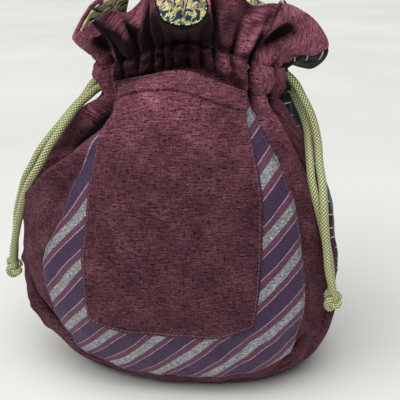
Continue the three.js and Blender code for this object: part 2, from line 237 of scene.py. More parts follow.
def between(a: Array, b: Array, c: Array, d: Array, f: Array) -> Array:
    """A smooth curve from b to c, at a share f of the way, with a before them and d after.

    Args:
        a: The point before the first.
        b: The first point.
        c: The second point.
        d: The point after the second.
        f: The share of the way.

    Returns:
        The point there.
    """
    return 0.5 * (
        2 * b + (c - a) * f + (2 * a - 5 * b + 4 * c - d) * f**2 + (3 * b - a - 3 * c + d) * f**3
    )


def through_rows(rows: Array, place: Array) -> Array:
    """A smooth curve through equally spaced rows of numbers.

    Args:
        rows: One row of numbers for each whole place.
        place: Row numbers that may have a fraction, of any shape.

    Returns:
        The numbers at each place, on a last axis.
    """
    clamped = np.clip(place, 0, len(rows) - 1)
    start = np.minimum(clamped.astype(int), len(rows) - 2)
    f = (clamped - start)[..., None]
    return between(*(rows[np.clip(start + k, 0, len(rows) - 1)] for k in (-1, 0, 1, 2)), f)


def along(table: Table, height: Array | float) -> Array:
    """The second number of a table of height and value pairs, in straight steps."""
    heights, values = zip(*table)
    return np.interp(height, heights, values)


def unit(vectors: Array) -> Array:
    """Vectors scaled to length 1."""
    return vectors / np.maximum(np.linalg.norm(vectors, axis=-1, keepdims=True), 1e-9)


def cloud(
    points: Array, size: float, seed: float, stretch: tuple[float, float, float] = (1, 1, 1)
) -> Array:
    """Soft seeded noise at points, from about -1 to 1.

    Args:
        points: Places in millimetres, with the coordinates on the last axis.
        size: The width of a typical lump, in millimetres.
        seed: A shift that gives another pattern.
        stretch: How much longer lumps are along each axis.

    Returns:
        One value for each point.
    """
    scaled = points.reshape(-1, 3) / (size * np.asarray(stretch)) + seed
    values = [noise.fractal(Vector(p), 0.6, 2.1, 3) for p in scaled]
    return np.asarray(values).reshape(points.shape[:-1])


# ---- the form ----


@dataclass(frozen=True)
class Fold:
    """A fold laid over the outer cloth.

    The line is height and angle pairs. The lift is in millimetres, below 0 for a valley, and the
    width is the distance at which it has mostly died away.
    """

    line: Table
    lift: float
    width: float
    sharp: bool = False

    def movement(self, form: "PouchForm", points: Array) -> Array:
        """How far outwards the fold moves each point.

        Args:
            form: The form that the fold lies on.
            points: Places on the smooth form.

        Returns:
            Millimetres for each point.
        """
        rows = np.asarray(self.line, float)
        steps = np.linspace(0, len(rows) - 1, 24 * (len(rows) - 1) + 1)
        spots = through_rows(rows, steps)
        path = form.skin(spots[:, 1], spots[:, 0])
        share = np.linspace(0, 1, len(path))
        strength = np.sin(np.pi * np.clip(share, 0.02, 0.98)) ** 0.6
        flat = points.reshape(-1, 3)
        reach = 3.2 * self.width
        near = np.all((flat > path.min(0) - reach) & (flat < path.max(0) + reach), axis=1)
        result = np.zeros(len(flat))
        if near.any():
            gap = np.linalg.norm(flat[near][:, None, :] - path[None, :, :], axis=2)
            nearest = gap.argmin(1)
            ratio = gap.min(1) / self.width
            shape = np.exp(-1.7 * ratio) if self.sharp else np.exp(-(ratio**2))
            result[near] = self.lift * strength[nearest] * shape
        return result.reshape(points.shape[:-1])


FOLDS: tuple[Fold, ...] = (
    # left: the deep valley from under the pocket's corner down to the side, and its lit lip
    Fold(((8.7, -58), (8.3, -60), (7.9, -63), (7.5, -65), (7.1, -67)), -11.0, 8.0),
    Fold(((7.9, -59), (7.5, -60), (7.0, -63), (6.6, -68), (6.15, -71), (5.8, -76)), -6.0, 4.0),
    Fold(((7.8, -51), (7.3, -53), (6.8, -59), (6.3, -66), (5.7, -73), (5.2, -80)), 5.0, 5.0),
    Fold(((8.75, -66), (8.6, -74), (8.2, -82), (7.6, -86)), 3.5, 5.0),
    Fold(((8.2, -86), (7.8, -87), (7.3, -87), (6.6, -87), (5.8, -88)), 2.5, 8.0),
    Fold(((9.1, -76), (8.95, -82), (8.75, -88), (8.6, -94)), -5.0, 6.0),
    Fold(((8.65, -62), (8.3, -66), (7.95, -70), (7.5, -74), (7.0, -79)), -10.0, 9.0),
    Fold(((7.2, -48), (6.7, -51), (6.0, -55), (5.4, -59), (5.0, -63)), -2.0, 4.5),
    # left, low: the crease above the corner of the band and the pleats under it
    Fold(((4.9, -56), (4.65, -64), (4.3, -74), (4.0, -84)), 2.0, 3.2),
    Fold(((4.0, -76), (3.7, -71), (3.35, -66), (3.05, -61), (2.8, -56), (2.55, -50)), -6.0, 4.2),
    Fold(((3.9, -84), (3.3, -70), (2.95, -62), (2.6, -54), (2.2, -44)), 4.0, 4.5),
    Fold(((4.4, -88), (3.6, -82), (3.0, -74), (2.5, -66)), 2.5, 7.0),
    Fold(((2.6, -64), (2.1, -52), (1.7, -40), (1.4, -26)), -2.4, 3.6),
    # right: the rolled fold outside the band, and the hollow of the gusset behind the seam
    Fold(((9.3, 53), (8.9, 60), (8.3, 64), (7.6, 65.5), (6.9, 66), (6.2, 66), (5.4, 67)), 3.6, 4.6),
    Fold(
        ((9.1, 66), (8.7, 70), (8.2, 74), (7.4, 76.5), (6.6, 76), (5.8, 77), (4.8, 78)), -6.0, 4.2
    ),
    Fold(((9.15, 68), (8.8, 74), (8.6, 79)), -6.0, 7.0),
    Fold(((8.9, 80), (8.4, 81), (7.8, 82), (7.0, 81)), 2.4, 3.5),
    Fold(((5.0, 80), (4.2, 79), (3.4, 77), (2.8, 73), (2.2, 66)), -3.4, 3.6),
    Fold(((3.0, 64), (2.6, 61), (2.3, 58), (1.9, 54)), -3.6, 3.2),
    Fold(((3.6, 84), (2.9, 80), (2.3, 74), (1.8, 66)), 2.6, 4.0),
    # right: the black back panel's wide soft roll behind the cord
    Fold(((9.0, 96), (8.5, 97), (8.0, 98), (7.4, 98), (6.8, 96)), 9.0, 9.5),
    # ruffle: creases that run down into the casing
    Fold(((10.75, 68), (10.55, 66.5), (10.35, 64), (10.22, 62), (10.08, 60)), -4.5, 3.2),
    Fold(((10.6, 57), (10.4, 56), (10.15, 55)), 2.6, 2.6),
    Fold(((10.66, 51), (10.5, 51), (10.34, 50.5), (10.25, 50)), -4.5, 2.8),
    Fold(((10.7, 44), (10.4, 44), (10.1, 43)), 2.4, 2.2),
    Fold(((10.55, 37), (10.3, 36.5), (10.05, 36)), -3.0, 2.4),
    Fold(((10.5, 31), (10.25, 31), (10.02, 30)), 2.2, 2.2),
    Fold(((10.74, 72), (10.6, 70), (10.44, 68), (10.28, 65), (10.1, 62)), -7.0, 5.8),
    Fold(((10.7, 92), (10.45, 86), (10.25, 80), (10.1, 76)), -3.5, 5.0),
    Fold(((10.86, 60), (10.9, 68), (10.92, 76)), 3.0, 5.0),
    Fold(((10.62, -62), (10.45, -64), (10.3, -66), (10.12, -66)), -8.0, 5.0),
    Fold(((10.7, -55), (10.45, -56), (10.2, -57), (10.05, -57)), 2.4, 3.0),
    Fold(((10.5, -49), (10.3, -49), (10.05, -49)), 2.6, 2.4),
    Fold(((10.5, -43), (10.3, -43), (10.05, -44)), -4.0, 2.4),
    Fold(((10.4, -37), (10.2, -37), (10.0, -38)), 2.0, 2.2),
    # back: soft hanging folds from the casing
    Fold(((8.9, 118), (7.8, 116), (6.6, 112), (5.4, 108)), -3.4, 6.0),
    Fold(((8.9, 130), (7.8, 131), (6.4, 132), (5.0, 128)), 2.0, 6.0),
    Fold(((8.9, 146), (7.6, 148), (6.4, 153)), -3.0, 6.0),
    Fold(((8.9, 176), (7.4, 178), (6.0, 176)), -2.8, 7.0),
    Fold(((8.9, -152), (7.6, -154), (6.2, -150)), -3.0, 6.0),
    Fold(((8.9, -122), (7.8, -120), (6.6, -115), (5.2, -110)), -3.6, 6.0),
    Fold(((2.0, 150), (2.8, 160), (3.2, 175), (2.9, -168)), -2.0, 7.0),
)


class PouchForm:
    """The soft shape that all the cloth lies on."""

    def __init__(self) -> None:
        """Reads the tables and settles the pleats."""
        self.profile = np.asarray(PROFILE, float)
        edge = np.asarray(RUFFLE, float)
        turn = np.array([360.0, 0, 0, 0])
        self.edge = np.vstack([edge[-3:] - turn, edge, edge[:4] + turn])
        seeded = np.random.default_rng(11)
        widths = seeded.uniform(0.6, 1.5, 30)
        self.valleys = np.concatenate([[0], np.cumsum(widths)]) * 360 / widths.sum() - 180
        self.pleat_height = 0.45 + 0.6 * widths + seeded.uniform(-0.2, 0.25, 30)
        self.pleat_foot = seeded.uniform(6.2, 8.4, 30)

    def body(self, angle: Array, height: Array) -> Array:
        """The smooth body up to the neck.

        Args:
            angle: Degrees round the pouch.
            height: Profile rows from -1, at the middle of the base, to 10.

        Returns:
            Points in millimetres.
        """
        angle, height = np.broadcast_arrays(np.asarray(angle, float), np.asarray(height, float))
        row = through_rows(self.profile, np.clip(height, 0, NECK_ROW))
        z, wide, front, back, middle, droop = np.moveaxis(row, -1, 0)
        across, forward = np.sin(np.radians(angle)), np.cos(np.radians(angle))
        deep = np.where(forward > 0, front, back)
        ratio = (np.abs(across) / wide) ** ROUNDNESS + (np.abs(forward) / deep) ** ROUNDNESS
        radius = ratio ** (-1 / ROUNDNESS) * np.where(height < 0, 1 + height, 1)
        return np.stack(
            [middle + radius * across, -radius * forward, z - NECK_DROOP * droop * across**2], -1
        )

    def ruffle_edge(self, angle: Array) -> Array:
        """The ruffle's free edge above an angle at the neck.

        Args:
            angle: Degrees round the pouch.

        Returns:
            Points in millimetres.
        """
        wrapped = half_turn(angle)
        below = np.searchsorted(self.edge[:, 0], wrapped, side="right") - 1
        i = np.clip(below, 1, len(self.edge) - 3)
        f = ((wrapped - self.edge[i, 0]) / (self.edge[i + 1, 0] - self.edge[i, 0]))[..., None]
        return between(*(self.edge[i + k, 1:] for k in (-1, 0, 1, 2)), f)

    def ruffle(self, angle: Array, t: Array) -> Array:
        """The ruffle, which leaves the neck upwards and arches out to its free edge.

        Args:
            angle: Degrees round the pouch.
            t: Places up the ruffle, from 0 at the neck to 1 at its edge.

        Returns:
            Points in millimetres.
        """
        root = self.body(angle, np.full(np.shape(angle), NECK_ROW))
        edge = self.ruffle_edge(angle)
        span = np.linalg.norm(edge - root, axis=-1, keepdims=True)
        apart = np.abs(half_turn(angle))[..., None]
        # At the sides the ruffle droops in a bowl, and at the back it stands up in an arch.
        bowl = bell((apart - 84) / 17)
        arch = smoothstep(124, 156, apart)
        upward = span * np.array([0, 0, 1.0])
        rise = root + 0.30 * (edge - root) + upward * (0.13 - 0.15 * bowl + 0.80 * arch)
        bend = root + 0.72 * (edge - root) + upward * (0.07 - 0.26 * bowl + 0.72 * arch)
        t = t[..., None]
        s = 1 - t
        return root * s**3 + 3 * rise * s**2 * t + 3 * bend * s * t**2 + edge * t**3

    def skin(self, angle: Array, height: Array) -> Array:
        """The smooth outer form at angles and heights.

        Args:
            angle: Degrees round the pouch.
            height: Profile rows.

        Returns:
            Points in millimetres.
        """
        angle, height = np.broadcast_arrays(np.asarray(angle, float), np.asarray(height, float))
        low = self.body(angle, np.minimum(height, NECK_ROW))
        high = self.ruffle(angle, np.clip(height - NECK_ROW, 0, 1))
        return np.where((height > NECK_ROW)[..., None], high, low)

    def normal(self, angle: Array, height: Array) -> Array:
        """The outward direction of the smooth form.

        Args:
            angle: Degrees round the pouch.
            height: Profile rows.

        Returns:
            Unit vectors.
        """
        angle, height = np.broadcast_arrays(np.asarray(angle, float), np.asarray(height, float))
        round_ = self.skin(angle + 0.5, height) - self.skin(angle - 0.5, height)
        up = self.skin(angle, np.minimum(height + 0.02, RUFFLE_EDGE)) - self.skin(
            angle, np.maximum(height - 0.02, -0.98)
        )
        result = unit(np.cross(round_, up))
        result[height < -0.9] = (0, 0, -1)
        return result

    def flattened(self, angle: Array, height: Array) -> Array:
        """How much the patches hold the cloth flat, from 0 to 1.

        Args:
            angle: Degrees round the pouch.
            height: Profile rows.

        Returns:
            Values from 0 to 1.
        """
        left = along(POCKET_LEFT, height)
        right = along(BAND_RIGHT, height)
        inside = smoothstep(-5, 3, angle - left) * smoothstep(-3, 5, right - angle)
        return inside * (1 - smoothstep(9.15, 9.45, height))

    def gathers(self, angle: Array, height: Array) -> Array:
        """How far outwards the neck's gathers move the cloth.

        Args:
            angle: Degrees round the pouch.
            height: Profile rows.

        Returns:
            Millimetres for each place.
        """
        # The pleats sway a little, more so as they fade below the casing.
        count = len(self.pleat_height)
        swing = 3.2 * np.sin(np.radians(angle) * 5 + height * 1.7)
        below = np.clip(9.0 - height, 0, 3)
        turned = half_turn(angle + swing * (0.25 + 0.4 * below))
        phase = np.interp(turned, self.valleys, np.arange(count + 1))
        own = np.minimum(phase.astype(int), count - 1)
        share = np.abs(np.sin(np.pi * phase))
        near = np.where(phase - own < 0.5, own - 1, own + 1) % count

        def mixed(values: Array) -> Array:
            """Each pleat's value, shared with its neighbour's at their common valley."""
            weight = 0.5 + 0.5 * share
            return values[own] * weight + values[near] * (1 - weight)

        # Between narrow valleys the ridges are rounded, so the mean lies near the form.
        ridge = 2 * share**0.8 - 0.75
        foot = mixed(self.pleat_foot)
        rise = np.clip((height - foot) / (9.0 - foot), 0, 1) ** 1.2
        fuller = 1 + 0.35 * smoothstep(9.98, 10.15, height)
        fall = fuller * (1 - smoothstep(10.25, 10.97, height))
        lobes = sum(bell(half_turn(angle - c) / w) for c, w in LOBES)
        smooth = np.clip(lobes, 0, 0.9) * smoothstep(9.9, 10.25, height)
        front = bell(((angle + 3) / 24) ** 2) * smoothstep(9.2, 9.6, height)
        open_ = 1 - np.maximum(smooth, 0.85 * front)
        held = 1 - self.flattened(angle, height)
        return 3.1 * mixed(self.pleat_height) * ridge * rise * fall * held * open_

    def casing(self, angle: Array, height: Array) -> Array:
        """The casing's puffed channel between its two lines of stitches.

        Args:
            angle: Degrees round the pouch.
            height: Profile rows.

        Returns:
            Millimetres outwards for each place.
        """
        row = 17.0  # the casing's width in millimetres
        puff = 1.5 * np.clip(np.sin(np.pi * np.clip(height - 9.0, 0, 1)), 0, 1)
        pinch = sum(bell((height - h) * row / 1.3) for h in (9.0, 10.0))
        return (puff - 1.5 * pinch) * (1 - self.flattened(angle, height))

    def relief(self, angle: Array, height: Array, gathered: float = 1.0) -> Array:
        """All that lifts or sinks the outer cloth from the smooth form.

        Args:
            angle: Degrees round the pouch.
            height: Profile rows.
            gathered: How strongly the gathers show in this piece.

        Returns:
            Millimetres outwards for each place.
        """
        angle, height = np.broadcast_arrays(np.asarray(angle, float), np.asarray(height, float))
        points = self.skin(angle, height)
        total = gathered * (self.gathers(angle, height) + self.casing(angle, height))
        for fold in FOLDS:
            total = total + fold.movement(self, points)
        soft = cloud(points, 34, 3.7, (1, 1, 1.4)) * 1.6
        crumple = cloud(points, 11, 9.1, (1, 1, 1.3)) * 0.45
        near_casing = bell((height - 9.6) / 0.5) * (1 - self.flattened(angle, height))
        scrunch = cloud(points, 6.0, 5.3) * 2.6 * near_casing
        # Small unevenness fades out on the base and weakens on the ruffle.
        steady = smoothstep(-0.2, 1.6, height) * (1 - 0.7 * smoothstep(10.0, 10.4, height))
        return total + (soft + crumple) * steady + scrunch

    def surface(
        self, angle: Array, height: Array, lift: Array | float, gathered: float = 1.0
    ) -> Array:
        """Points of the outer cloth, lifted by a distance in millimetres."""
        move = self.relief(angle, height, gathered) + lift
        return self.skin(angle, height) + self.normal(angle, height) * move[..., None]


# ---- mesh making ----


def flat_lengths(points: Array, height: Array | None = None) -> tuple[Array, Array]:
    """Cloth coordinates of a grid, measured along it in millimetres.

    Args:
        points: Rows of points, from the foot up.
        height: Each point's profile row, so that the weave runs level.

    Returns:
        The distance from the middle column along each row, and the distance up each column.
    """
    steps = np.linalg.norm(np.diff(points, axis=1), axis=-1)
    across = np.concatenate([np.zeros((len(points), 1)), np.cumsum(steps, axis=1)], axis=1)
    middle = points.shape[1] // 2
    across -= across[:, middle : middle + 1]
    rises = np.linalg.norm(np.diff(points, axis=0), axis=-1)
    up = np.concatenate([np.zeros((1, points.shape[1])), np.cumsum(rises, axis=0)])
    if height is not None:
        level = [np.interp(3.6, height[:, j], up[:, j]) for j in range(up.shape[1])]
        up = up - np.asarray(level)[None, :]
    return across, up


def mesh_object(
    name: str, points: Array, faces: list[list[int]], uv: Array | None = None
) -> bpy.types.Object:
    """A mesh object in metres from points in millimetres.

    Args:
        name: The piece's name.
        points: One row for each vertex.
        faces: The vertex numbers of each face.
        uv: Cloth coordinates for each vertex.

    Returns:
        The new object, linked to the scene and shaded smooth.
    """
    mesh = bpy.data.meshes.new(name)
    mesh.from_pydata((points * MM).tolist(), [], faces)
    mesh.update()
    if uv is not None:
        layer = mesh.uv_layers.new(name=UV_NAME)
        corners = np.empty(len(mesh.loops), dtype=np.int32)
        mesh.loops.foreach_get("vertex_index", corners)
        layer.data.foreach_set("uv", uv[corners].astype(np.float32).ravel())
    mesh.polygons.foreach_set("use_smooth", [True] * len(mesh.polygons))
    made = bpy.data.objects.new(name, mesh)
    bpy.context.scene.collection.objects.link(made)
    return made


def point_values(piece: bpy.types.Object, name: str, values: Array) -> None:
    """Stores one number for each vertex of a piece, for its finish to read."""
    attribute = piece.data.attributes.new(name, "FLOAT", "POINT")
    attribute.data.foreach_set("value", values.astype(np.float32))


def grid_faces(rows: int, columns: int, closed: bool = False) -> Array:
    """Quads over a grid of vertices, closed round its columns or not.

    Args:
        rows: How many rows the grid has.
        columns: How many columns it has.
        closed: Whether the last column joins the first.

    Returns:
        Four vertex numbers for each face.
    """
    last = columns if closed else columns - 1
    i, j = (a.ravel() for a in np.meshgrid(np.arange(rows - 1), np.arange(last), indexing="ij"))
    k = (j + 1) % columns
    low, high = i * columns, (i + 1) * columns
    return np.stack([low + j, low + k, high + k, high + j], 1)


def grid_normals(points: Array) -> Array:
    """The outward directions of a grid of points."""
    return unit(np.cross(np.gradient(points, axis=1), np.gradient(points, axis=0)))


def spread(values: Array, reach: int) -> Array:
    """A grid of values averaged over a square of neighbours.

    Args:
        values: A grid of values.
        reach: How many neighbours away the square goes.

    Returns:
        A grid of the same shape.
    """
    result = np.asarray(values, float)
    for axis in (0, 1):
        ends = [(reach + 1, reach) if k == axis else (0, 0) for k in (0, 1)]
        total = np.cumsum(np.pad(result, ends, mode="edge"), axis=axis)
        count = result.shape[axis]
        high = np.take(total, np.arange(count) + 2 * reach + 1, axis=axis)
        low = np.take(total, np.arange(count), axis=axis)
        result = (high - low) / (2 * reach + 1)
    return result


def painted_shade(points: Array, smooth_points: Array, height: Array | None) -> Array:
    """The painted shade at each place, from 0 to 1: in folds, and, where the heights are given, on
    faces that turn down under the ruffle and on the casing under the front lobe.

    Args:
        points: The cloth's outer face, as a grid.
        smooth_points: The same grid without its folds.
        height: Each point's profile row.

    Returns:
        One value for each point.
    """
    out = grid_normals(smooth_points)
    move = ((points - smooth_points) * out).sum(-1)
    total = np.zeros_like(move)
    # Painted shade in narrow creases, then in broad valleys: the reach in grid steps, the depth in
    # millimetres where the shade starts, how much deeper it is full, and its strength.
    for reach, start, deeper, strength in ((7, 0.3, 2.6, 0.6), (27, 1.2, 6.5, 1.1)):
        total += strength * np.clip((spread(move, reach) - move - start) / deeper, 0, 1)
    if height is not None:
        # Painted shade on faces that turn downwards under the ruffle.
        under = np.clip((0.15 - spread(grid_normals(points)[..., 2], 2)) / 0.7, 0, 1)
        total = total + under * smoothstep(9.35, 9.9, height)
        # The front lobe's painted shadow on the casing below it.
        x, y = smooth_points[..., 0], smooth_points[..., 1]
        lobe = smoothstep(-62, -44, x) * (1 - smoothstep(18, 30, x)) * (y < 0)
        casing = smoothstep(9.0, 9.3, height) * (1 - smoothstep(10.3, 10.8, height))
        total = total + 0.75 * lobe * casing
    return np.clip(spread(total, 1), 0, 1)


def cloth_piece(
    name: str,
    points: Array,
    smooth_points: Array,
    thickness: float,
    height: Array | None = None,
) -> bpy.types.Object:
    """A sheet of cloth from a grid of its outer face, with an inner face and rounded edges.

    Args:
        name: The piece's name.
        points: Rows of points, from the foot up, each from left to right.
        smooth_points: The same grid without its folds, which the weave is measured on.
        thickness: The cloth's thickness in millimetres.
        height: Each point's profile row, so that the weave runs level.

    Returns:
        The finished mesh object.
    """
    rows, columns = points.shape[:2]
    out = grid_normals(points)
    inner = points - out * thickness
    across, up = flat_lengths(smooth_points, height)
    uv = np.stack([across, up], -1).reshape(-1, 2)
    i, j = np.arange(rows), np.arange(columns)
    right = i[1:] * columns + columns - 1
    top = (rows - 1) * columns + j[::-1][1:]
    loop = np.concatenate([j, right, top, i[::-1][1:-1] * columns])
    beyond = np.zeros_like(points)
    beyond[0] += unit(points[0] - points[1])
    beyond[-1] += unit(points[-1] - points[-2])
    beyond[:, 0] += unit(points[:, 0] - points[:, 1])
    beyond[:, -1] += unit(points[:, -1] - points[:, -2])
    flat, deep, away, face = (a.reshape(-1, 3) for a in (points, inner, unit(beyond), out))
    centre = (flat[loop] + deep[loop]) / 2
    rim = [
        centre + thickness / 2 * (face[loop] * math.cos(turn) + away[loop] * math.sin(turn))
        for turn in (math.pi / 4, math.pi / 2, 3 * math.pi / 4)
    ]
    count, around = rows * columns, len(loop)
    rings = [loop, *(2 * count + k * around + np.arange(around) for k in range(3)), count + loop]
    faces = [grid_faces(rows, columns), grid_faces(rows, columns)[:, ::-1] + count]
    for first, second in zip(rings, rings[1:]):
        faces.append(np.stack([first, second, np.roll(second, -1), np.roll(first, -1)], 1))
    everything = np.vstack([flat, deep, *rim])
    laid = np.vstack([uv, uv, *[uv[loop]] * 3])
    made = mesh_object(name, everything, np.vstack(faces).tolist(), laid)
    # The painted shade of the folds and of the ruffle's underside, which the plum cloth's finish
    # reads.
    shade = painted_shade(points, smooth_points, height).ravel()
    point_values(made, PAINTED_SHADE_NAME, np.concatenate([shade, shade, *[shade[loop]] * 3]))
    return made


def frames_along(path: Array) -> tuple[Array, Array, Array]:
    """Untwisted side directions along a path.

    Args:
        path: Points in order.

    Returns:
        Tangents, first sides and second sides.
    """
    tangent = unit(np.gradient(path, axis=0))
    side = np.zeros_like(path)
    start = np.cross(tangent[0], (0.0, 0.0, 1.0))
    if np.linalg.norm(start) < 0.1:
        start = np.cross(tangent[0], (0.0, 1.0, 0.0))
    side[0] = unit(start)
    for i in range(1, len(path)):
        moved = side[i - 1] - tangent[i] * np.dot(side[i - 1], tangent[i])
        side[i] = moved / np.linalg.norm(moved)
    return tangent, side, np.cross(tangent, side)


def spline(points: Table | Array, spacing: float) -> Array:
    """An evenly spaced smooth curve through points.

    Args:
        points: Three numbers each.
        spacing: Distance between the results, in millimetres.

    Returns:
        The curve's points.
    """
    given = np.asarray(points, float)
    padded = np.vstack([2 * given[0] - given[1], given, 2 * given[-1] - given[-2]])
    pieces = []
    for p0, p1, p2, p3 in zip(padded, padded[1:], padded[2:], padded[3:]):
        t0 = 0.0
        t1 = np.linalg.norm(p1 - p0) ** 0.5
        t2 = t1 + np.linalg.norm(p2 - p1) ** 0.5
        t3 = t2 + np.linalg.norm(p3 - p2) ** 0.5
        t = np.linspace(t1, t2, 20, endpoint=False)[:, None]
        a1 = (t1 - t) / (t1 - t0) * p0 + (t - t0) / (t1 - t0) * p1
        a2 = (t2 - t) / (t2 - t1) * p1 + (t - t1) / (t2 - t1) * p2
        a3 = (t3 - t) / (t3 - t2) * p2 + (t - t2) / (t3 - t2) * p3
        b1 = (t2 - t) / (t2 - t0) * a1 + (t - t0) / (t2 - t0) * a2
        b2 = (t3 - t) / (t3 - t1) * a2 + (t - t1) / (t3 - t1) * a3
        pieces.append((t2 - t) / (t2 - t1) * b1 + (t - t1) / (t2 - t1) * b2)
    dense = np.vstack([*pieces, given[-1:]])
    length = run_lengths(dense)
    even = np.linspace(0, length[-1], max(int(length[-1] / spacing), 4))
    return np.stack([np.interp(even, length, dense[:, k]) for k in range(3)], -1)


@dataclass(frozen=True)
class RoundBraid:
    """A round braided cord of seven strands each way, in millimetres."""

    diameter: float = CORD_DIAMETER
    strands: int = 7
    cell: float = 2.0
    sides: int = 32
    spacing: float = 0.5

    def tube(self, name: str, path: Array) -> bpy.types.Object:
        """A braided tube along a path, with each strand's crown raised.

        Args:
            name: The piece's name.
            path: Evenly spaced points in millimetres.

        Returns:
            A closed mesh object with the crown attribute.
        """
        _, side, other = frames_along(path)
        length = run_lengths(path)
        turn = np.linspace(0, 2 * np.pi, self.sides, endpoint=False)
        s, phi = np.meshgrid(length, turn, indexing="ij")
        one = self.strands * phi / (2 * np.pi) + s / self.cell
        two = self.strands * phi / (2 * np.pi) - s / self.cell
        over = (np.floor(one) + np.floor(two)) % 2 == 0
        wide, long_ = np.where(over, one, two) % 1 - 0.5, np.where(over, two, one) % 1 - 0.5
        crown = np.sqrt(np.clip(1 - (2 * wide) ** 2, 0, 1)) * (0.45 + 0.55 * np.cos(np.pi * long_))
        ends = np.minimum(s, length[-1] - s)
        # Both ends close in half a ball.
        close = np.sqrt(np.clip(1 - np.clip(1 - ends / (self.diameter / 2), 0, 1) ** 2, 0.02, 1))
        radius = self.diameter / 2 * (0.86 + 0.17 * crown) * close
        ring = np.cos(phi)[..., None] * side[:, None] + np.sin(phi)[..., None] * other[:, None]
        points = path[:, None] + ring * radius[..., None]
        flat = np.vstack([points.reshape(-1, 3), path[:1], path[-1:]])
        first, last = len(flat) - 2, len(flat) - 1
        top = first - self.sides
        steps = [(a, (a + 1) % self.sides) for a in range(self.sides)]
        faces = grid_faces(len(path), self.sides, closed=True).tolist()
        faces += [[first, b, a] for a, b in steps]
        faces += [[last, top + a, top + b] for a, b in steps]
        made = mesh_object(name, flat, faces)
        # The strands' heights, which the cord's finish turns into painted highlights and painted
        # shade.
        point_values(made, CROWN_NAME, np.concatenate([crown.ravel(), [0.5, 0.5]]))
        return made


def stitches(
    name: str, ends: list[tuple[Array, Array, Array]], radius: float, arch: float
) -> bpy.types.Object:
    """Short lengths of thread, each arched over the cloth between its two holes.

    Args:
        name: The piece's name.
        ends: For each stitch, its first hole, its last hole and the way out of the cloth.
        radius: The thread's radius in millimetres.
        arch: How far the middle stands off, in millimetres.

    Returns:
        One mesh object that holds them all.
    """
    share = np.array([0.0, 0.12, 0.5, 0.88, 1.0])
    bow = np.array([-0.4, 0.6, 1.0, 0.6, -0.4])
    thick = np.array([0.35, 1.0, 1.0, 1.0, 0.35])
    sides = 6
    turn = np.linspace(0, 2 * np.pi, sides, endpoint=False)
    points, faces = [], []
    for start, end, out in ends:
        path = start + (end - start) * share[:, None] + out * (bow * arch)[:, None]
        run = unit(end - start)
        side = unit(np.cross(run, out))
        up = np.cross(side, run)
        ring = np.cos(turn)[None, :, None] * side + np.sin(turn)[None, :, None] * up
        body = path[:, None] + ring * (radius * thick)[:, None, None]
        base = len(points) * len(share) * sides
        points.append(body.reshape(-1, 3))
        faces += (grid_faces(len(share), sides, closed=True) + base).tolist()
        faces.append([base + j for j in range(sides)][::-1])
        faces.append([base + (len(share) - 1) * sides + j for j in range(sides)])
    return mesh_object(name, np.vstack(points), faces)


def machine_stitches(name: str, line: Array, outward: Array, pitch: float) -> bpy.types.Object:
    """A row of machine stitches along a line on the cloth.

    Args:
        name: The piece's name.
        line: Points along the row, in order, in millimetres.
        outward: The way out of the cloth, for all or for each point.
        pitch: The stitches' length in millimetres.

    Returns:
        The stitches as one object.
    """
    length = run_lengths(line)
    out = unit(np.broadcast_to(outward, line.shape))
    gap = 0.5

    def at(values: Array, place: float) -> Array:
        """The values at a distance along the row."""
        return np.array([np.interp(place, length, values[:, k]) for k in range(3)])

    ends = [
        (at(line, mark + gap / 2), at(line, mark + pitch - gap / 2), unit(at(out, mark)))
        for mark in np.arange(0, length[-1] - pitch, pitch)
    ]
    return stitches(name, ends, radius=0.2, arch=0.28)


# ---- finishes ----


def new_material(name: str) -> tuple[bpy.types.Material, bpy.types.NodeTree]:
    """An empty material and its node tree.

    Args:
        name: The material's name.

    Returns:
        The material and its node tree.
    """
    material = bpy.data.materials.new(name)
    material.use_nodes = True
    material.node_tree.nodes.clear()
    return material, material.node_tree


def add_surface(tree: bpy.types.NodeTree, inputs: dict[object, object]) -> None:
    """Adds a material's shader and output, with the shader's values and links."""
    shader = add_node(tree, "BsdfPrincipled", inputs=inputs)
    add_node(tree, "OutputMaterial", inputs={"Surface": (shader, "BSDF")})


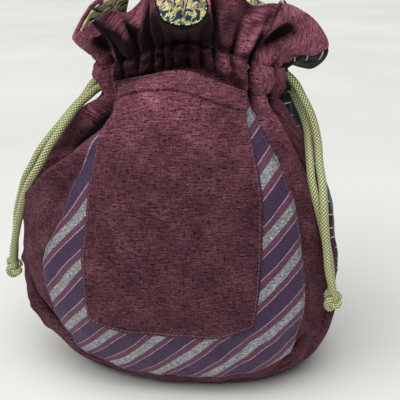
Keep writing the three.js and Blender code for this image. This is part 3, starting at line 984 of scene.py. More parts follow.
@dataclass(frozen=True)
class SlubCotton:
    """Plain-woven slub cotton: uneven threads give short streaks, dark knots and a soft bloom."""

    name: str = "Slub cotton, yarn-dyed and plain woven"
    deep: str = "#2b151b"
    dark: str = "#47252d"
    middle: str = "#5f3540"
    light: str = "#794855"
    bright: str = "#a06a7a"
    knot: str = "#12080b"
    # The colour of the painted shade at its deepest.
    painted_shade_colour: str = "#30242b"
    knots: float = 0.555
    thread: float = 0.9

    def make(self) -> bpy.types.Material:
        """The finished material.

        Returns:
            The material.
        """
        material, tree = new_material(self.name)
        uv = add_node(tree, "UVMap", {"uv_map": UV_NAME})
        # Slubs are about 5 mm long and 0.7 mm wide on the weft, and longer and fainter on the
        # warp. The bloom's clouds are about 18 mm wide, and the grain is finer than a millimetre.
        value: object = 0.0
        for stretch, scale, detail, roughness, weight in (
            ((0.17, 1.15, 1), 1.0, 3.0, 0.65, 0.32),
            ((1.6, 0.16, 1), 1.0, 3.0, 0.6, 0.14),
            ((1, 1, 1), 0.055, 3.0, 0.6, 0.20),
            ((1, 1, 1), 1.6, 2.0, 0.7, 0.34),
        ):
            laid = add_node(tree, "Mapping", inputs={"Vector": (uv, "UV"), "Scale": stretch})
            streaks = add_node(
                tree, "TexNoise",
                inputs={
                    "Vector": (laid, 0), "Scale": scale, "Detail": detail, "Roughness": roughness,
                },
            )
            value = (add_node(tree, "Math", TIMES_PLUS, {0: (streaks, 0), 1: weight, 2: value}), 0)
        colour = add_node(
            tree, "ValToRGB", inputs={"Fac": value},
            stops=(
                (0.38, self.deep), (0.45, self.dark), (0.50, self.middle), (0.55, self.light),
                (0.63, self.bright),
            ),
        )
        fleck_map = add_node(
            tree, "Mapping",
            inputs={"Vector": (uv, "UV"), "Scale": (0.42, 0.95, 1), "Location": (31, 17, 0)},
        )
        fleck = add_node(
            tree, "TexNoise",
            inputs={"Vector": (fleck_map, 0), "Scale": 1.0, "Detail": 2.5, "Roughness": 0.75},
        )
        where = add_node(
            tree, "MapRange", SMOOTH,
            {"Value": (fleck, 0), "From Min": self.knots, "From Max": self.knots + 0.06},
        )
        mixed = add_node(
            tree, "Mix", COLOURS, {0: (where, 0), 6: (colour, 0), 7: linear(self.knot)}
        )
        # Painted shade: the cloth darkens in its folds, under the ruffle and on the casing under
        # the front lobe, as the shade attribute says.
        depth = add_node(tree, "Attribute", {"attribute_name": PAINTED_SHADE_NAME})
        painted_shade_tint = add_node(
            tree, "ValToRGB", inputs={"Fac": (depth, "Fac")},
            stops=((0.0, "#ffffff"), (0.9, self.painted_shade_colour)),
        )
        with_painted_shade = add_node(tree, "Mix", DYED, {0: 1.0, 6: (mixed, 2), 7: (painted_shade_tint, 0)})
        # Painted light from above: the cloth is darker towards the bottom and brighter towards the
        # top, by its height in the object.
        placed = add_node(tree, "TexCoord")
        level = add_node(tree, "SeparateXYZ", inputs={0: (placed, "Object")})
        painted_top_light = add_node(
            tree, "MapRange", SMOOTH,
            {
                "Value": (level, 2), "From Min": 0.12, "From Max": 0.235, "To Min": 0.72,
                "To Max": 2.7,
            },
        )
        with_painted_light = add_node(
            tree, "VectorMath", {"operation": "SCALE"}, {0: (with_painted_shade, 2), "Scale": (painted_top_light, 0)}
        )
        # The plain weave's threads, drawn coarser than the real 0.4 mm so that they show.
        parts = add_node(tree, "SeparateXYZ", inputs={0: (uv, "UV")})
        waves = []
        for axis in (0, 1):
            turns = add_node(
                tree, "Math", TIMES, {0: (parts, axis), 1: 2 * math.pi / self.thread}
            )
            waves.append(add_node(tree, "Math", {"operation": "SINE"}, {0: (turns, 0)}))
        woven = add_node(tree, "Math", TIMES, {0: (waves[0], 0), 1: (waves[1], 0)})
        rough = add_node(tree, "Math", TIMES_PLUS, {0: value, 1: 5.0, 2: (woven, 0)})
        bump = add_node(
            tree, "Bump", inputs={"Height": (rough, 0), "Strength": 0.45, "Distance": 0.0003}
        )
        add_surface(tree, {
            "Base Color": (with_painted_light, 0), "Normal": (bump, 0), "Roughness": 0.92,
            "Specular IOR Level": 0.2, "Sheen Weight": 0.12, "Sheen Roughness": 0.45,
            "Sheen Tint": linear("#c88a9c"),
        })
        return material


@dataclass(frozen=True)
class StripedBrocade:
    """Figured brocade: slanting lurex stripes glint between plum and violet satin.

    The period is in millimetres across a stripe, and the silver's and the violet's shares are of
    a period. The slant is the slope in the middle of the foot, with its changes across and up.
    """

    name: str = "Striped brocade with metallic weft, jacquard woven"
    period: float = 21.2
    slope: float = 0.915
    bow: float = -0.0011
    swell: float = -1.0e-5
    climb: float = 0.0049
    start: float = 0.181
    silver_share: float = 0.24
    violet_from: float = 0.405
    violet_to: float = 0.825
    line_share: float = 0.023
    silver: str = "#a3a6aa"
    silver_dark: str = "#777b81"
    silver_bright: str = "#e4e8e8"
    plum: str = "#6f3d57"
    violet: str = "#473052"
    line: str = "#c3a3b4"

    def place(
        self, tree: bpy.types.NodeTree, uv: bpy.types.Node, parts: bpy.types.Node
    ) -> bpy.types.Node:
        """The node that says where in a stripe's period each point of the cloth lies.

        Args:
            tree: The material's node tree.
            uv: The cloth's coordinates.
            parts: The same, split.

        Returns:
            A node whose output runs from 0 to 1.
        """
        wobble = add_node(
            tree, "TexNoise", inputs={"Vector": (uv, "UV"), "Scale": 0.9, "Detail": 1.0}
        )
        # The stripes rise to the right, steepest at the left and the top, where the grain bows.
        lean = add_node(tree, "Math", TIMES_PLUS, {0: (parts, 0), 1: -self.bow / 2, 2: -self.slope})
        squared = add_node(tree, "Math", TIMES, {0: (parts, 0), 1: (parts, 0)})
        steep = add_node(tree, "Math", TIMES_PLUS, {0: (squared, 0), 1: -self.swell, 2: (lean, 0)})
        rise = add_node(tree, "Math", TIMES_PLUS, {0: (parts, 1), 1: -self.climb / 2, 2: 1.0})
        sideways = add_node(tree, "Math", TIMES, {0: (parts, 0), 1: (steep, 0)})
        cross = add_node(
            tree, "Math", TIMES_PLUS, {0: (parts, 1), 1: (rise, 0), 2: (sideways, 0)}
        )
        # A typical slant's length turns heights between stripes to distances across them.
        per_mm = 1 / (math.hypot(0.9, 0.81) * self.period)
        scaled = add_node(tree, "Math", TIMES_PLUS, {0: (cross, 0), 1: per_mm, 2: self.start})
        shaken = add_node(tree, "Math", TIMES_PLUS, {0: (wobble, 0), 1: 0.02, 2: (scaled, 0)})
        return add_node(tree, "Math", {"operation": "FRACT"}, {0: (shaken, 0)})

    def make(self) -> bpy.types.Material:
        """The finished material.

        Returns:
            The material.
        """
        material, tree = new_material(self.name)
        uv = add_node(tree, "UVMap", {"uv_map": UV_NAME})
        parts = add_node(tree, "SeparateXYZ", inputs={0: (uv, "UV")})
        place = self.place(tree, uv, parts)
        stripes = add_node(
            tree, "ValToRGB", inputs={"Fac": (place, 0)},
            stops=(
                (0.0, self.silver), (self.silver_share, self.plum), (self.violet_from, self.line),
                (self.violet_from + self.line_share, self.violet), (self.violet_to, self.line),
                (self.violet_to + self.line_share, self.plum), (0.999, self.plum),
            ),
        )
        stripes.color_ramp.interpolation = "CONSTANT"
        is_silver = add_node(
            tree, "Math", {"operation": "LESS_THAN"}, {0: (place, 0), 1: self.silver_share}
        )
        # Painted glints: the metallic weft's flakes, of about 0.7 mm, get base colours from dark
        # silver to near white.
        glint = add_node(tree, "TexVoronoi", inputs={"Vector": (uv, "UV"), "Scale": 1.5})
        spark = add_node(tree, "SeparateXYZ", inputs={0: (glint, "Color")})
        sparkle = add_node(
            tree, "ValToRGB", inputs={"Fac": (spark, 0)},
            stops=(
                (0.0, self.silver_dark), (0.4, self.silver), (0.85, "#b6babd"),
                (1.0, self.silver_bright),
            ),
        )
        lurex = add_node(
            tree, "Mix", COLOURS, {0: (is_silver, 0), 6: (stripes, 0), 7: (sparkle, 0)}
        )
        thread_map = add_node(
            tree, "Mapping", inputs={"Vector": (uv, "UV"), "Scale": (0.35, 1.7, 1)}
        )
        thread = add_node(
            tree, "TexNoise",
            inputs={"Vector": (thread_map, 0), "Scale": 1.0, "Detail": 3.0, "Roughness": 0.7},
        )
        shade = add_node(
            tree, "ValToRGB", inputs={"Fac": (thread, 0)},
            stops=((0.32, "#8a8a8a"), (0.5, "#dcdcdc"), (0.68, "#ffffff")),
        )
        toned = add_node(tree, "Mix", DYED, {0: 1.0, 6: (lurex, 2), 7: (shade, 0)})
        metal = add_node(tree, "Math", TIMES, {0: (is_silver, 0), 1: 0.35})
        gloss = add_node(
            tree, "MapRange", inputs={"Value": (is_silver, 0), "To Min": 0.62, "To Max": 0.42}
        )
        height = add_node(
            tree, "Math", TIMES_PLUS, {0: (spark, 1), 1: (is_silver, 0), 2: (thread, 0)}
        )
        bump = add_node(
            tree, "Bump", inputs={"Height": (height, 0), "Strength": 0.5, "Distance": 0.0004}
        )
        add_surface(tree, {
            "Base Color": (toned, 2), "Metallic": (metal, 0), "Roughness": (gloss, 0),
            "Normal": (bump, 0), "Specular IOR Level": 0.35, "Sheen Weight": 0.25,
            "Sheen Roughness": 0.4, "Sheen Tint": linear("#b9a5c8"),
        })
        return material


@dataclass(frozen=True)
class BlackCotton:
    """Close-woven black cotton: flat and dark, with a faint grey dustiness."""

    name: str = "Black cotton, plain woven"
    dark: str = "#0e0f12"
    light: str = "#23262a"

    def make(self) -> bpy.types.Material:
        """The finished material.

        Returns:
            The material.
        """
        material, tree = new_material(self.name)
        uv = add_node(tree, "UVMap", {"uv_map": UV_NAME})
        stretch = add_node(
            tree, "Mapping", inputs={"Vector": (uv, "UV"), "Scale": (0.6, 1.4, 1)}
        )
        grain = add_node(
            tree, "TexNoise",
            inputs={"Vector": (stretch, 0), "Scale": 1.0, "Detail": 4.0, "Roughness": 0.7},
        )
        colour = add_node(
            tree, "ValToRGB", inputs={"Fac": (grain, 0)},
            stops=((0.35, self.dark), (0.7, self.light)),
        )
        bump = add_node(
            tree, "Bump", inputs={"Height": (grain, 0), "Strength": 0.4, "Distance": 0.0004}
        )
        add_surface(tree, {
            "Base Color": (colour, 0), "Normal": (bump, 0), "Roughness": 0.9,
            "Specular IOR Level": 0.25, "Sheen Weight": 0.15, "Sheen Roughness": 0.5,
        })
        return material


@dataclass(frozen=True)
class PrintedLining:
    """Smooth cotton with a marbled print: cream leaves with blue, teal and gold veins."""

    name: str = "Printed cotton lining, rotary printed"
    cream: str = "#d8cf9a"
    gold: str = "#a79a4a"
    blue: str = "#1f3a66"
    teal: str = "#0f3b46"
    pink: str = "#b98a84"

    def make(self) -> bpy.types.Material:
        """The finished material.

        Returns:
            The material.
        """
        material, tree = new_material(self.name)
        uv = add_node(tree, "UVMap", {"uv_map": UV_NAME})
        swirl = add_node(
            tree, "TexNoise", inputs={"Vector": (uv, "UV"), "Scale": 0.16, "Detail": 2.0}
        )
        bend = add_node(
            tree, "VectorMath", TIMES_PLUS,
            {0: (swirl, "Color"), 1: (11.0, 11.0, 0.0), 2: (uv, "UV")},
        )
        # The print's leaves are about 6 mm long and 3 mm wide.
        leaf_map = add_node(
            tree, "Mapping",
            inputs={"Vector": (bend, 0), "Rotation": (0, 0, 0.7), "Scale": (0.34, 0.17, 1)},
        )
        leaves = add_node(
            tree, "TexNoise",
            inputs={"Vector": (leaf_map, 0), "Scale": 1.0, "Detail": 1.5, "Roughness": 0.5},
        )
        colour = add_node(
            tree, "ValToRGB", inputs={"Fac": (leaves, 0)},
            stops=(
                (0.0, self.teal), (0.41, self.blue), (0.475, self.cream), (0.53, self.gold),
                (0.555, self.cream), (0.60, self.teal), (0.66, self.pink),
            ),
        )
        colour.color_ramp.interpolation = "CONSTANT"
        fine = add_node(
            tree, "TexNoise", inputs={"Vector": (uv, "UV"), "Scale": 1.4, "Detail": 3.0}
        )
        bump = add_node(
            tree, "Bump", inputs={"Height": (fine, 0), "Strength": 0.3, "Distance": 0.0003}
        )
        add_surface(tree, {
            "Base Color": (colour, 0), "Normal": (bump, 0), "Roughness": 0.82,
            "Specular IOR Level": 0.3,
        })
        return material


@dataclass(frozen=True)
class BraidedPolyester:
    """Round braided cord of soft celery-green filament yarn, with painted cream highlights on each
    strand's crown and painted olive shade in the gaps between.
    """

    name: str = "Polyester filament cord, braided"
    # The gap's dark olive is painted shade, and the crown's cream is a painted highlight.
    gap: str = "#343818"
    shade: str = "#75794a"
    body: str = "#cbcf96"
    crown: str = "#fbfcdc"

    def make(self) -> bpy.types.Material:
        """The finished material.

        Returns:
            The material.
        """
        material, tree = new_material(self.name)
        # The strand's height paints highlights on the crowns and shade in the gaps.
        lifted = add_node(tree, "Attribute", {"attribute_name": CROWN_NAME})
        colour = add_node(
            tree, "ValToRGB", inputs={"Fac": (lifted, "Fac")},
            stops=((0.2, self.gap), (0.55, self.shade), (0.8, self.body), (0.96, self.crown)),
        )
        add_surface(tree, {
            "Base Color": (colour, 0), "Roughness": 0.55, "Specular IOR Level": 0.4,
            "Sheen Weight": 0.2, "Sheen Roughness": 0.4,
        })
        return material


@dataclass(frozen=True)
class Mottled:
    """A matt surface with a faint mottle, on Object coordinates in metres."""

    name: str
    dark: str
    light: str
    scale: float
    spread: float
    roughness: float

    def make(self) -> bpy.types.Material:
        """The finished material.

        Returns:
            The material.
        """
        material, tree = new_material(self.name)
        place = add_node(tree, "TexCoord")
        mottle = add_node(
            tree, "TexNoise",
            inputs={"Vector": (place, "Object"), "Scale": self.scale, "Detail": 2.0},
        )
        colour = add_node(
            tree, "ValToRGB", inputs={"Fac": (mottle, 0)},
            stops=((0.5 - self.spread, self.dark), (0.5 + self.spread, self.light)),
        )
        add_surface(tree, {"Base Color": (colour, 0), "Roughness": self.roughness})
        return material


@dataclass(frozen=True)
class SpunThread(Mottled):
    """Sewing thread: matt, with a slight mottle from its twist of under a millimetre."""

    scale: float = 1400.0
    spread: float = 0.15
    roughness: float = 0.7


@dataclass(frozen=True)
class PaleBoard(Mottled):
    """Painted board under and behind the pouch: matt, near white, faintly uneven."""

    name: str = "Pale board, painted"
    dark: str = "#dedfdb"
    light: str = "#e9eae6"
    scale: float = 3.0
    spread: float = 0.2
    roughness: float = 0.85


# ---- the pouch's parts ----


def settle(
    piece: bpy.types.Object, slot: str, material: bpy.types.Material, *nodes: str
) -> bpy.types.Object:
    """Dresses a finished piece and gives it its place in the frame.

    Args:
        piece: The finished object.
        slot: The record's material slot, which is not used.
        material: Its material.
        nodes: The CAD nodes that it stands for.

    Returns:
        The same piece.
    """
    piece.data.materials.clear()
    piece.data.materials.append(material)
    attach(piece, BODY)
    if nodes:
        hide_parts(*nodes)
    log.info("%s: %d faces", piece.name, len(piece.data.polygons))
    return piece


def degrees_for(form: PouchForm, length: float, height: Array) -> Array:
    """The angle, in degrees, of a length round the pouch's side.

    Args:
        form: The form.
        length: Millimetres.
        height: Profile rows.

    Returns:
        Degrees for each height.
    """
    row = np.minimum(height, NECK_ROW)
    first, second = (form.body(np.full(np.shape(row), degrees), row) for degrees in (74.0, 75.0))
    return length / np.linalg.norm(second - first, axis=-1)


def hem(foot: tuple[float, float], side: Array) -> Array:
    """A panel's foot, in profile rows, at a place across it."""
    middle, corner = foot
    return middle + (corner - middle) * np.abs(side) ** 4


def seam_relief(past: Array, ridge: float, groove: float) -> Array:
    """The ridge of a seam's allowance and the groove of its stitches.

    Args:
        past: The distance past the seam, below 0 on the panel's side.
        ridge: The ridge's height.
        groove: The groove's depth.

    Returns:
        Millimetres outwards for each place.
    """
    return ridge * bell((past + 1.6) / 1.5) - groove * bell(past / 0.8)


def panel_rows(foot: Array) -> Array:
    """The heights of a panel's rows from its curved foot to the ruffle's edge.

    Args:
        foot: The foot's height at each column.

    Returns:
        Heights, rows by columns.
    """
    join = 3.5  # the height where rows turn level
    share = np.linspace(0, 1, LOW_ROWS, endpoint=False)[:, None]
    lower = foot[None, :] + (join - foot[None, :]) * share
    body = np.linspace(join, NECK_ROW, HIGH_ROWS, endpoint=False)
    level = np.concatenate([body, np.linspace(NECK_ROW, RUFFLE_EDGE, FRILL_ROWS)])
    return np.vstack([lower, np.repeat(level[:, None], len(foot), axis=1)])


def back_seam(height: Array, side: Side | Array) -> Array:
    """The angle of a back seam, which lies further back up the left side.

    Args:
        height: Profile rows.
        side: The pouch's side, or its sign for each place.

    Returns:
        Degrees from the front, without a sign.
    """
    sign = np.asarray(side.value if isinstance(side, Side) else side)
    back = np.where(sign < 0, 13.0, 0.0) * smoothstep(4.2, 7.6, height)
    return along(BACK_SEAM, height) + back


@dataclass
class OuterCloth:
    """The front panel, the back panel and the U-shaped gusset between them."""

    form: PouchForm
    plum: bpy.types.Material
    black: bpy.types.Material
    front_columns: int = 168
    back_columns: int = 190

    def past_front(self, angle: Array, height: Array) -> Array:
        """The distance past the front seams, in millimetres."""
        return (np.abs(angle) - along(FRONT_SEAM, height)) / degrees_for(self.form, 1.0, height)

    def front(self) -> bpy.types.Object:
        """The front panel, from its hem under the belly to the ruffle's edge.

        Returns:
            The finished panel.
        """
        u = np.linspace(-1, 1, self.front_columns)
        height = panel_rows(hem(FRONT_HEM, u))
        edge = along(FRONT_SEAM, height) - degrees_for(self.form, SEAM_GAP / 2, height)
        angle = u[None, :] * edge
        lift = seam_relief(self.past_front(angle, height), 1.3, 0.8)
        points = self.form.surface(angle, height, lift)
        return cloth_piece("plum_front", points, self.form.skin(angle, height), CLOTH, height)

    def back(self) -> bpy.types.Object:
        """The black back panel, with its two side edges.

        Returns:
            The finished panel.
        """
        u = np.linspace(-1, 1, self.back_columns)
        height = panel_rows(hem(BACK_HEM, u))
        half_gap = degrees_for(self.form, SEAM_GAP / 2, height)
        edge = back_seam(height, -np.sign(u)[None, :]) + half_gap
        angle = half_turn(180 + u[None, :] * (180 - edge))
        apart = back_seam(height, np.sign(angle)) - np.abs(angle)
        lift = seam_relief(apart / degrees_for(self.form, 1.0, height), 0.7, 0.6)
        points = self.form.surface(angle, height, lift)
        return cloth_piece("black_back", points, self.form.skin(angle, height), CLOTH, height)

    def underside(self, x: Array, y: Array) -> Array:
        """The height of the pouch's underside at places under it.

        Args:
            x: Places across, in millimetres.
            y: Places from front to back, in millimetres.

        Returns:
            Millimetres above the floor.
        """

        def ratio(row: Array) -> Array:
            """How far out each place lies, 1 on the outline of a profile row."""
            deep = np.where(y < 0, row[..., 2], row[..., 3])
            across = (np.abs(x - row[..., 4]) / row[..., 1]) ** ROUNDNESS
            return across + (np.abs(y) / deep) ** ROUNDNESS

        low, high = np.zeros_like(x), np.full_like(x, 4.0)
        for _ in range(24):
            middle = (low + high) / 2
            outside = ratio(through_rows(self.form.profile, middle)) > 1
            low, high = np.where(outside, middle, low), np.where(outside, high, middle)
        z = through_rows(self.form.profile, low)[..., 0]
        return np.where(ratio(self.form.profile[np.zeros(x.shape, int)]) <= 1, 0.0, z)

    def gusset(self) -> bpy.types.Object:
        """The strip down the left side, under the base and up the right.

        Returns:
            The finished strip.
        """
        form = self.form
        c = np.linspace(0, 1, 36)[None, :]
        front_rows = panel_rows(hem(FRONT_HEM, np.ones(1)))
        back_rows = panel_rows(hem(BACK_HEM, np.ones(1)))

        def edges(front: Array, back: Array, side: Side) -> tuple[Array, Array]:
            """The angles of the strip's two edges on one side."""
            return (
                along(FRONT_SEAM, front) + degrees_for(form, SEAM_GAP / 2, front),
                back_seam(back, side) - degrees_for(form, SEAM_GAP / 2, back),
            )

        def arm(side: Side) -> tuple[Array, Array]:
            """The angles and heights of the strip's places up one side."""
            start, end = edges(front_rows, back_rows, side)
            angle = side.value * (start + (end - start) * c)
            height = front_rows + (back_rows - front_rows) * c
            return angle, height

        def lifted(side: Side) -> Array:
            """The strip's outer face up one side."""
            angle, height = arm(side)
            lift = seam_relief(self.past_front(angle, height), 0.0, 0.8)
            return form.surface(angle, height, lift)

        u = np.linspace(-1, 1, 150)[1:-1, None]
        side = np.abs(u)
        sign = np.where(u < 0, -1.0, 1.0)
        step = 0.08  # how far the strip tucks under the panels' feet, in rows
        start, end = edges(front_rows[0], back_rows[0], Side.RIGHT)
        front_angle, front_height = side * start, hem(FRONT_HEM, side) - step
        back_angle, back_height = 180 - side * (180 - end), hem(BACK_HEM, side) - step
        angle = sign * (front_angle + (back_angle - front_angle) * c)
        height = front_height + (back_height - front_height) * c
        first = form.body(sign * front_angle, front_height)
        last = form.body(sign * back_angle, back_height)
        chord = first + (last - first) * c[..., None]
        arc = form.body(angle, height)
        base = chord + (arc - chord) * (side**6)[..., None]
        base[..., 2] = self.underside(base[..., 0], base[..., 1])
        move = form.relief(angle, height) * side**6
        base = base + form.normal(angle, height) * move[..., None]
        base[..., 2] = np.maximum(base[..., 2], 0.02)
        grid = np.vstack([lifted(Side.LEFT)[::-1], base, lifted(Side.RIGHT)])
        smooth = np.vstack([form.skin(*arm(Side.LEFT))[::-1], base, form.skin(*arm(Side.RIGHT))])
        return cloth_piece("plum_gusset", grid, smooth, CLOTH)

    def build(self) -> list[bpy.types.Object]:
        """Makes and dresses the three outer pieces.

        Returns:
            The finished pieces.
        """
        front = settle(self.front(), "plum_cloth", self.plum, "front_panel")
        back = settle(self.back(), "back_cloth", self.black, "back_panel")
        gusset = settle(self.gusset(), "plum_cloth", self.plum, "gusset")
        return [front, back, gusset]


@dataclass(frozen=True)
class Outline:
    """A patch's edges on the form, with its rough width and length in millimetres."""

    left: Table
    right: Table
    foot: tuple[float, float]
    wide: float
    tall: float

    def places(self, top: float | Array, u: Array, v: Array) -> tuple[Array, Array]:
        """Angles and heights over the patch.

        Args:
            top: The top's height.
            u: Places across, from -1 to 1.
            v: Places up, from 0 to 1.

        Returns:
            Angles and heights, of u and v's shape.
        """
        bottom = hem(self.foot, u)
        height = bottom + (top - bottom) * v
        start, end = along(self.left, height), along(self.right, height)
        return start + (end - start) * (u + 1) / 2, height

    def edge_roll(self, u: Array, v: Array) -> Array:
        """How far the turned edge sinks towards the cloth below, in millimetres."""
        sides = np.minimum((1 - np.abs(u)) * self.wide / 2, v * self.tall)
        return -0.9 * np.exp(-sides / 0.8)


BAND = Outline(BAND_LEFT, BAND_RIGHT, BAND_FOOT, 170, 150)
POCKET = Outline(POCKET_LEFT, POCKET_RIGHT, POCKET_FOOT, 150, 150)


@dataclass
class Patches:
    """The brocade patch and the pocket sewn over it, with their top-stitching."""

    form: PouchForm
    plum: bpy.types.Material
    brocade: bpy.types.Material
    thread: bpy.types.Material
    tonal: bpy.types.Material
    gape: float = 8.0
    band_lift: float = 1.6
    pocket_lift: float = 3.8

    def band(self) -> bpy.types.Object:
        """The brocade patch, of which a border shows round the pocket.

        Returns:
            The finished patch.
        """
        u, v = np.meshgrid(np.linspace(-1, 1, 130), np.linspace(0, 1, 120))
        angle, height = BAND.places(BAND_TOP, u, v)
        points = self.form.surface(angle, height, self.band_lift + BAND.edge_roll(u, v))
        return cloth_piece("brocade_band", points, self.form.skin(angle, height), 0.8, height)

    def pocket_surface(self, u: Array, v: Array) -> tuple[Array, Array, Array]:
        """The pocket's outer face, its smooth form and its heights.

        Args:
            u: Places across, from -1 to 1.
            v: Places up, from 0 to 1.

        Returns:
            Points, smooth points and profile rows.
        """
        top = POCKET_TOP - 0.185 * u + 0.065 * u * u + 0.022 * np.sin(7 * u + 0.6)
        angle, height = POCKET.places(top, u, v)
        gape = self.gape * smoothstep(0.45, 1, v) * (1 - u * u) ** 0.6
        fold = 0.35 * smoothstep(0.985, 1.0, v)
        stand = self.pocket_lift + gape + fold + POCKET.edge_roll(u, v)
        groove = -0.9 * bell((v - HEM_LINE) * POCKET.tall / 1.1)
        lift = stand + (groove + 0.8 * smoothstep(HEM_LINE, HEM_LINE + 0.013, v))
        points = self.form.surface(angle, height, lift, gathered=0.12)
        return points, self.form.skin(angle, height), height

    def pocket(self) -> bpy.types.Object:
        """The plum pocket, sewn at three sides and open at its hemmed top.

        Returns:
            The finished patch.
        """
        u, v = np.meshgrid(np.linspace(-1, 1, 130), np.linspace(0, 1, 150))
        points, smooth, height = self.pocket_surface(u, v)
        return cloth_piece("plum_pocket", points, smooth, 1.4, height)

    def hem_stitches(self) -> bpy.types.Object:
        """The machine stitches that hold the pocket's hem down.

        Returns:
            The stitches as one object.
        """
        u = np.linspace(-0.985, 0.985, 500)[None, :]
        points = self.pocket_surface(u, np.full_like(u, HEM_LINE + 0.005))[0]
        return machine_stitches("pocket_hem_stitches", points[0], np.array([0.0, -1.0, 0.25]), 2.6)

    def border(self, inset: float, top: float) -> tuple[Array, Array]:
        """Places along a patch's sewn edges.

        Args:
            inset: The distance from the edge, as a share of the patch.
            top: Where the row starts and ends, as a share of the patch's height.

        Returns:
            Places across and up, down the left side, along the foot and up the right side.
        """
        fall = np.linspace(top, inset, 260)
        run = np.linspace(-1 + inset * 1.6, 1 - inset * 1.6, 300)
        u = np.concatenate([np.full(260, run[0]), run[1:-1], np.full(260, run[-1])])
        v = np.concatenate([fall, np.full(298, inset), fall[::-1]])
        return u[None, :], v[None, :]

    def pocket_stitches(self) -> bpy.types.Object:
        """The machine stitches that hold the pocket's three sewn edges.

        Returns:
            The stitches as one object.
        """
        u, v = self.border(0.018, 0.86)
        out = self.form.normal(*POCKET.places(POCKET_TOP, u, v))[0]
        return machine_stitches("pocket_side_stitches", self.pocket_surface(u, v)[0][0], out, 2.4)

    def band_stitches(self) -> bpy.types.Object:
        """The machine stitches round the brocade patch.

        Returns:
            The stitches as one object.
        """
        u, v = self.border(0.014, 0.97)
        angle, height = BAND.places(BAND_TOP, u, v)
        lift = self.band_lift + 0.05 + BAND.edge_roll(u, v)
        points = self.form.surface(angle, height, lift)[0]
        out = self.form.normal(angle, height)[0]
        return machine_stitches("brocade_edge_stitches", points, out, 2.4)

    def build(self) -> list[bpy.types.Object]:
        """Makes and dresses the patches.

        Returns:
            The finished pieces.
        """
        band = settle(self.band(), "brocade", self.brocade, "brocade_panel")
        pocket = settle(self.pocket(), "plum_cloth", self.plum, "pocket")
        hem_row = settle(self.hem_stitches(), "plum_cloth", self.thread)
        sides = settle(self.pocket_stitches(), "plum_cloth", self.tonal)
        round_band = settle(self.band_stitches(), "brocade", self.tonal)
        return [band, pocket, hem_row, sides, round_band]


@dataclass
class Lining:
    """The printed lining bag, in a front and a back half."""

    form: PouchForm
    cloth: bpy.types.Material
    thickness: float = 0.8

    def depth(self, height: Array) -> Array:
        """How far inside the form the lining's outer face runs.

        Args:
            height: Profile rows.

        Returns:
            Millimetres inwards.
        """
        belly, channel, edge = 2.7, 8.4, 1.75
        low = belly + (channel - belly) * smoothstep(7.6, 8.8, height)
        high = channel + (edge - channel) * smoothstep(10.02, 10.45, height)
        return np.where(height < NECK_ROW, low, high)

    def half(self, name: str, middle: float) -> bpy.types.Object:
        """One half of the lining.

        Args:
            name: The piece's name.
            middle: The angle of its middle, 0 or 180.

        Returns:
            The finished half.
        """
        base = np.linspace(-0.97, 0, 14, endpoint=False)
        body = np.linspace(0, NECK_ROW, 104, endpoint=False)
        heights = np.concatenate([base, body, np.linspace(NECK_ROW, 10.955, 44)])
        angle, height = np.meshgrid(middle + np.linspace(-89.9, 89.9, 128), heights)
        wrapped = half_turn(angle)
        folds = 0.55 * self.form.gathers(wrapped, height) * smoothstep(7.5, 9.5, height)
        outer = self.form.relief(wrapped, height)
        above = smoothstep(9.75, 10.05, height)
        follow = outer * above + (1 - above) * folds
        low = np.minimum(outer, 0) * (1 - smoothstep(8.6, 9.3, height))
        skin = self.form.skin(wrapped, height)
        out = self.form.normal(wrapped, height)
        points = skin + out * (follow + low - self.depth(height))[..., None]
        return cloth_piece(name, points, skin, self.thickness, height)

    def build(self) -> list[bpy.types.Object]:
        """Makes and dresses both halves.

        Returns:
            The finished pieces.
        """
        made = []
        for part, middle in (("front", 0.0), ("back", 180.0)):
            half = self.half(f"printed_lining_{part}", middle)
            made.append(settle(half, "lining_cloth", self.cloth, f"lining_{part}"))
        return made


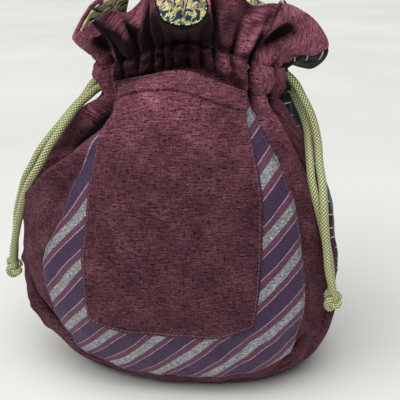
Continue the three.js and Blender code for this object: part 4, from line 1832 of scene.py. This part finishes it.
@dataclass
class SeamStitches:
    """The white hand stitches over the back seams, and the casing's machine stitches."""

    form: PouchForm
    white: bpy.types.Material
    tonal: bpy.types.Material
    dark: bpy.types.Material
    pitch: float = 7.8

    def whipped(self, side: Side) -> bpy.types.Object:
        """The white stitches that cross one back seam, from base to ruffle.

        Args:
            side: The pouch's side.

        Returns:
            The stitches as one object.
        """
        height = np.linspace(3.3, 10.98, 700)
        seam = back_seam(height, side)
        line = self.form.skin(side.value * seam, height)
        length = run_lengths(line)
        seeded = np.random.default_rng(5 + side.value)
        ends = []
        for mark in np.arange(4, length[-1] - 1, self.pitch):
            rows = np.interp(mark + seeded.uniform(-0.8, 0.8), length, height)
            angle = float(back_seam(np.asarray(rows), side))
            step = float(degrees_for(self.form, 1.0, np.asarray(rows)))
            lean = seeded.uniform(0.02, 0.07)
            near, far = angle - 0.6 * step, angle + (3.0 + seeded.uniform(-0.4, 0.5)) * step
            spots = self.form.surface(
                side.value * np.array([near, far]), np.array([rows, rows - lean]), 0.25
            )
            out = self.form.normal(np.array([side.value * angle]), np.array([rows]))[0]
            ends.append((spots[0], spots[1], out))
        return stitches(f"white_stitches_{side.name.lower()}", ends, 0.38, 0.45)

    def casing_line(self, name: str, height: float, start: float, end: float) -> bpy.types.Object:
        """One row of machine stitches round part of the neck.

        Args:
            name: The piece's name.
            height: The profile row.
            start: The angle where the row starts.
            end: The angle where it ends.

        Returns:
            The stitches as one object.
        """
        angle = half_turn(np.linspace(start, end, 900))
        rows = np.full(900, height)
        points = self.form.surface(angle, rows, 0.15)
        return machine_stitches(name, points, self.form.normal(angle, rows), 2.8)

    def build(self) -> list[bpy.types.Object]:
        """Makes and dresses all the stitches.

        Returns:
            The finished pieces.
        """
        made = [settle(self.whipped(side), "back_cloth", self.white) for side in Side]
        # The top row is one thread. Where it lies in the shade under the front of the ruffle it
        # takes the dark thread, as painted shade, and that part runs on from 104 degrees round the
        # back.
        for part, height, start, end, thread in (
            ("top", 10.0, 24, 104, self.tonal),
            ("round", 10.0, 104, 384, self.dark),
            ("right", 9.0, 60, 179.6, self.tonal),
            ("left", 9.0, -180, -60, self.tonal),
        ):
            row = self.casing_line(f"casing_stitches_{part}", height, start, end)
            made.append(settle(row, "plum_cloth", thread))
        return made


@dataclass
class Drawcord:
    """One drawcord, from its knot round the casing and back, with the knot."""

    side: Side
    route: Table
    knot_centre: tuple[float, float, float]
    cord: bpy.types.Material
    braid: RoundBraid = field(default_factory=RoundBraid)

    def knot_path(self) -> Array:
        """The centreline of a tight overhand knot.

        Returns:
            Points in millimetres.
        """
        t = np.linspace(0, 2 * np.pi, 90)
        ring, twist = 2.7, 1.9  # the knot's and its turns' radii in millimetres
        x = (ring + twist * np.cos(3 * t)) * np.cos(2 * t) * 0.85
        z = (ring + twist * np.cos(3 * t)) * np.sin(2 * t)
        y = twist * 0.85 * np.sin(3 * t)
        return np.stack([x, y, z * 1.3], -1) + np.asarray(self.knot_centre)

    def build(self) -> list[bpy.types.Object]:
        """Returns:
            The finished pieces.
        """
        label = self.side.name.lower()
        into = tuple(0.35 * a + 0.65 * b for a, b in zip(self.route[0], self.knot_centre))
        out = tuple(0.35 * a + 0.65 * b for a, b in zip(self.route[-1], self.knot_centre))
        path = spline((into, *self.route, out), self.braid.spacing)
        tube = self.braid.tube(f"braided_cord_{label}", path)
        cord = settle(tube, "cord", self.cord, f"drawcord_{label}")
        tight = RoundBraid(diameter=3.9)
        knot = tight.tube(f"overhand_knot_{label}", spline(self.knot_path(), tight.spacing))
        lump = settle(knot, "cord", self.cord, f"knot_{label}")
        return [cord, lump]


@dataclass
class Studio:
    """The camera, the pale floor and the soft light."""

    azimuth: float = 6.0
    elevation: float = 20.0
    distance: float = 0.440
    target: tuple[float, float, float] = (0.013, 0.0, 0.106)
    lens: float = 65.0

    def put(self, name: str, data: bpy.types.ID, facing: Vector) -> bpy.types.Object:
        """Adds a camera or a light that looks one way.

        Args:
            name: Its name.
            data: The camera or light.
            facing: The way that it looks.

        Returns:
            The new object.
        """
        made = bpy.data.objects.new(name, data)
        bpy.context.scene.collection.objects.link(made)
        made.rotation_euler = facing.to_track_quat("-Z", "Y").to_euler()
        return made

    def camera(self) -> None:
        """Places the camera and makes it the scene's."""
        data = bpy.data.cameras.new("Camera")
        data.lens = self.lens
        data.sensor_width = 36.0
        az, el = math.radians(self.azimuth), math.radians(self.elevation)
        away = Vector((math.sin(az) * math.cos(el), -math.cos(az) * math.cos(el), math.sin(el)))
        made = self.put("Camera", data, -away)
        made.location = Vector(self.target) + away * self.distance
        bpy.context.scene.camera = made

    def floor(self, board: bpy.types.Material) -> None:
        """Lays the floor under the pouch.

        Args:
            board: The floor's finish.
        """
        bpy.ops.object.select_all(action="DESELECT")
        bpy.ops.mesh.primitive_circle_add(
            vertices=96, radius=9.0, fill_type="NGON", location=(0, 0, 0)
        )
        ground = bpy.context.active_object
        ground.name = "floor"
        ground.data.materials.append(board)

    def light(self) -> None:
        """Sets the lamps and the even light of the room."""
        # A very wide soft light overhead is even over the whole floor.
        sky = bpy.data.lights.new("Ceiling", "SUN")
        sky.energy = 3.35
        sky.angle = math.radians(68)
        self.put("Ceiling", sky, Vector((0.10, 0.42, -1.0)))
        # A soft square lamp to the left and in front faces the pouch.
        lamp = bpy.data.lights.new("Window", "AREA")
        lamp.size = 0.9
        lamp.energy = 2.5
        spot = Vector((-0.9, -0.75, 0.95))
        self.put("Window", lamp, Vector((0, 0, 0.1)) - spot).location = spot
        world = bpy.data.worlds.new("Room")
        world.use_nodes = True
        background = world.node_tree.nodes["Background"]
        background.inputs["Color"].default_value = linear("#eceef0")
        # The far wall looks pale, but little of its light reaches the pouch.
        seen = add_node(world.node_tree, "LightPath")
        strength = add_node(
            world.node_tree, "MapRange",
            inputs={"Value": (seen, "Is Camera Ray"), "To Min": 0.08, "To Max": 0.82},
        )
        world.node_tree.links.new(strength.outputs[0], background.inputs["Strength"])
        bpy.context.scene.world = world
        bpy.context.scene.view_settings.view_transform = "Standard"


def main() -> None:
    """Builds the pouch piece by piece, with the camera, floor and light."""
    logging.basicConfig(level=logging.INFO, format="%(name)s %(message)s")
    studio = Studio()
    studio.camera()
    cord_finish = BraidedPolyester().make()
    for side, route, knot in (
        (Side.RIGHT, RIGHT_ROUTE, RIGHT_KNOT),
        (Side.LEFT, LEFT_ROUTE, LEFT_KNOT),
    ):
        Drawcord(side, route, knot, cord_finish).build()
    form = PouchForm()
    plum = SlubCotton().make()
    black = BlackCotton().make()
    tonal = SpunThread("Plum sewing thread, spun polyester", "#6e4152", "#b98a9b").make()
    dark = SpunThread("Dark plum sewing thread, spun polyester", "#1c0f15", "#3a2029").make()
    white = SpunThread("White sewing thread, spun cotton", "#b4b3b8", "#d9d8dc").make()
    lilac = SpunThread("Lilac sewing thread, spun polyester", "#54344a", "#94708a").make()
    front, back, gusset = OuterCloth(form, plum, black).build()
    patches = Patches(form, plum, StripedBrocade().make(), dark, lilac)
    band, pocket, hem_row, sides, round_band = patches.build()
    inside_front, inside_back = Lining(form, PrintedLining().make()).build()
    sewn = SeamStitches(form, white, tonal, dark).build()
    studio.floor(PaleBoard().make())
    studio.light()


if __name__ == "__main__":
    main()
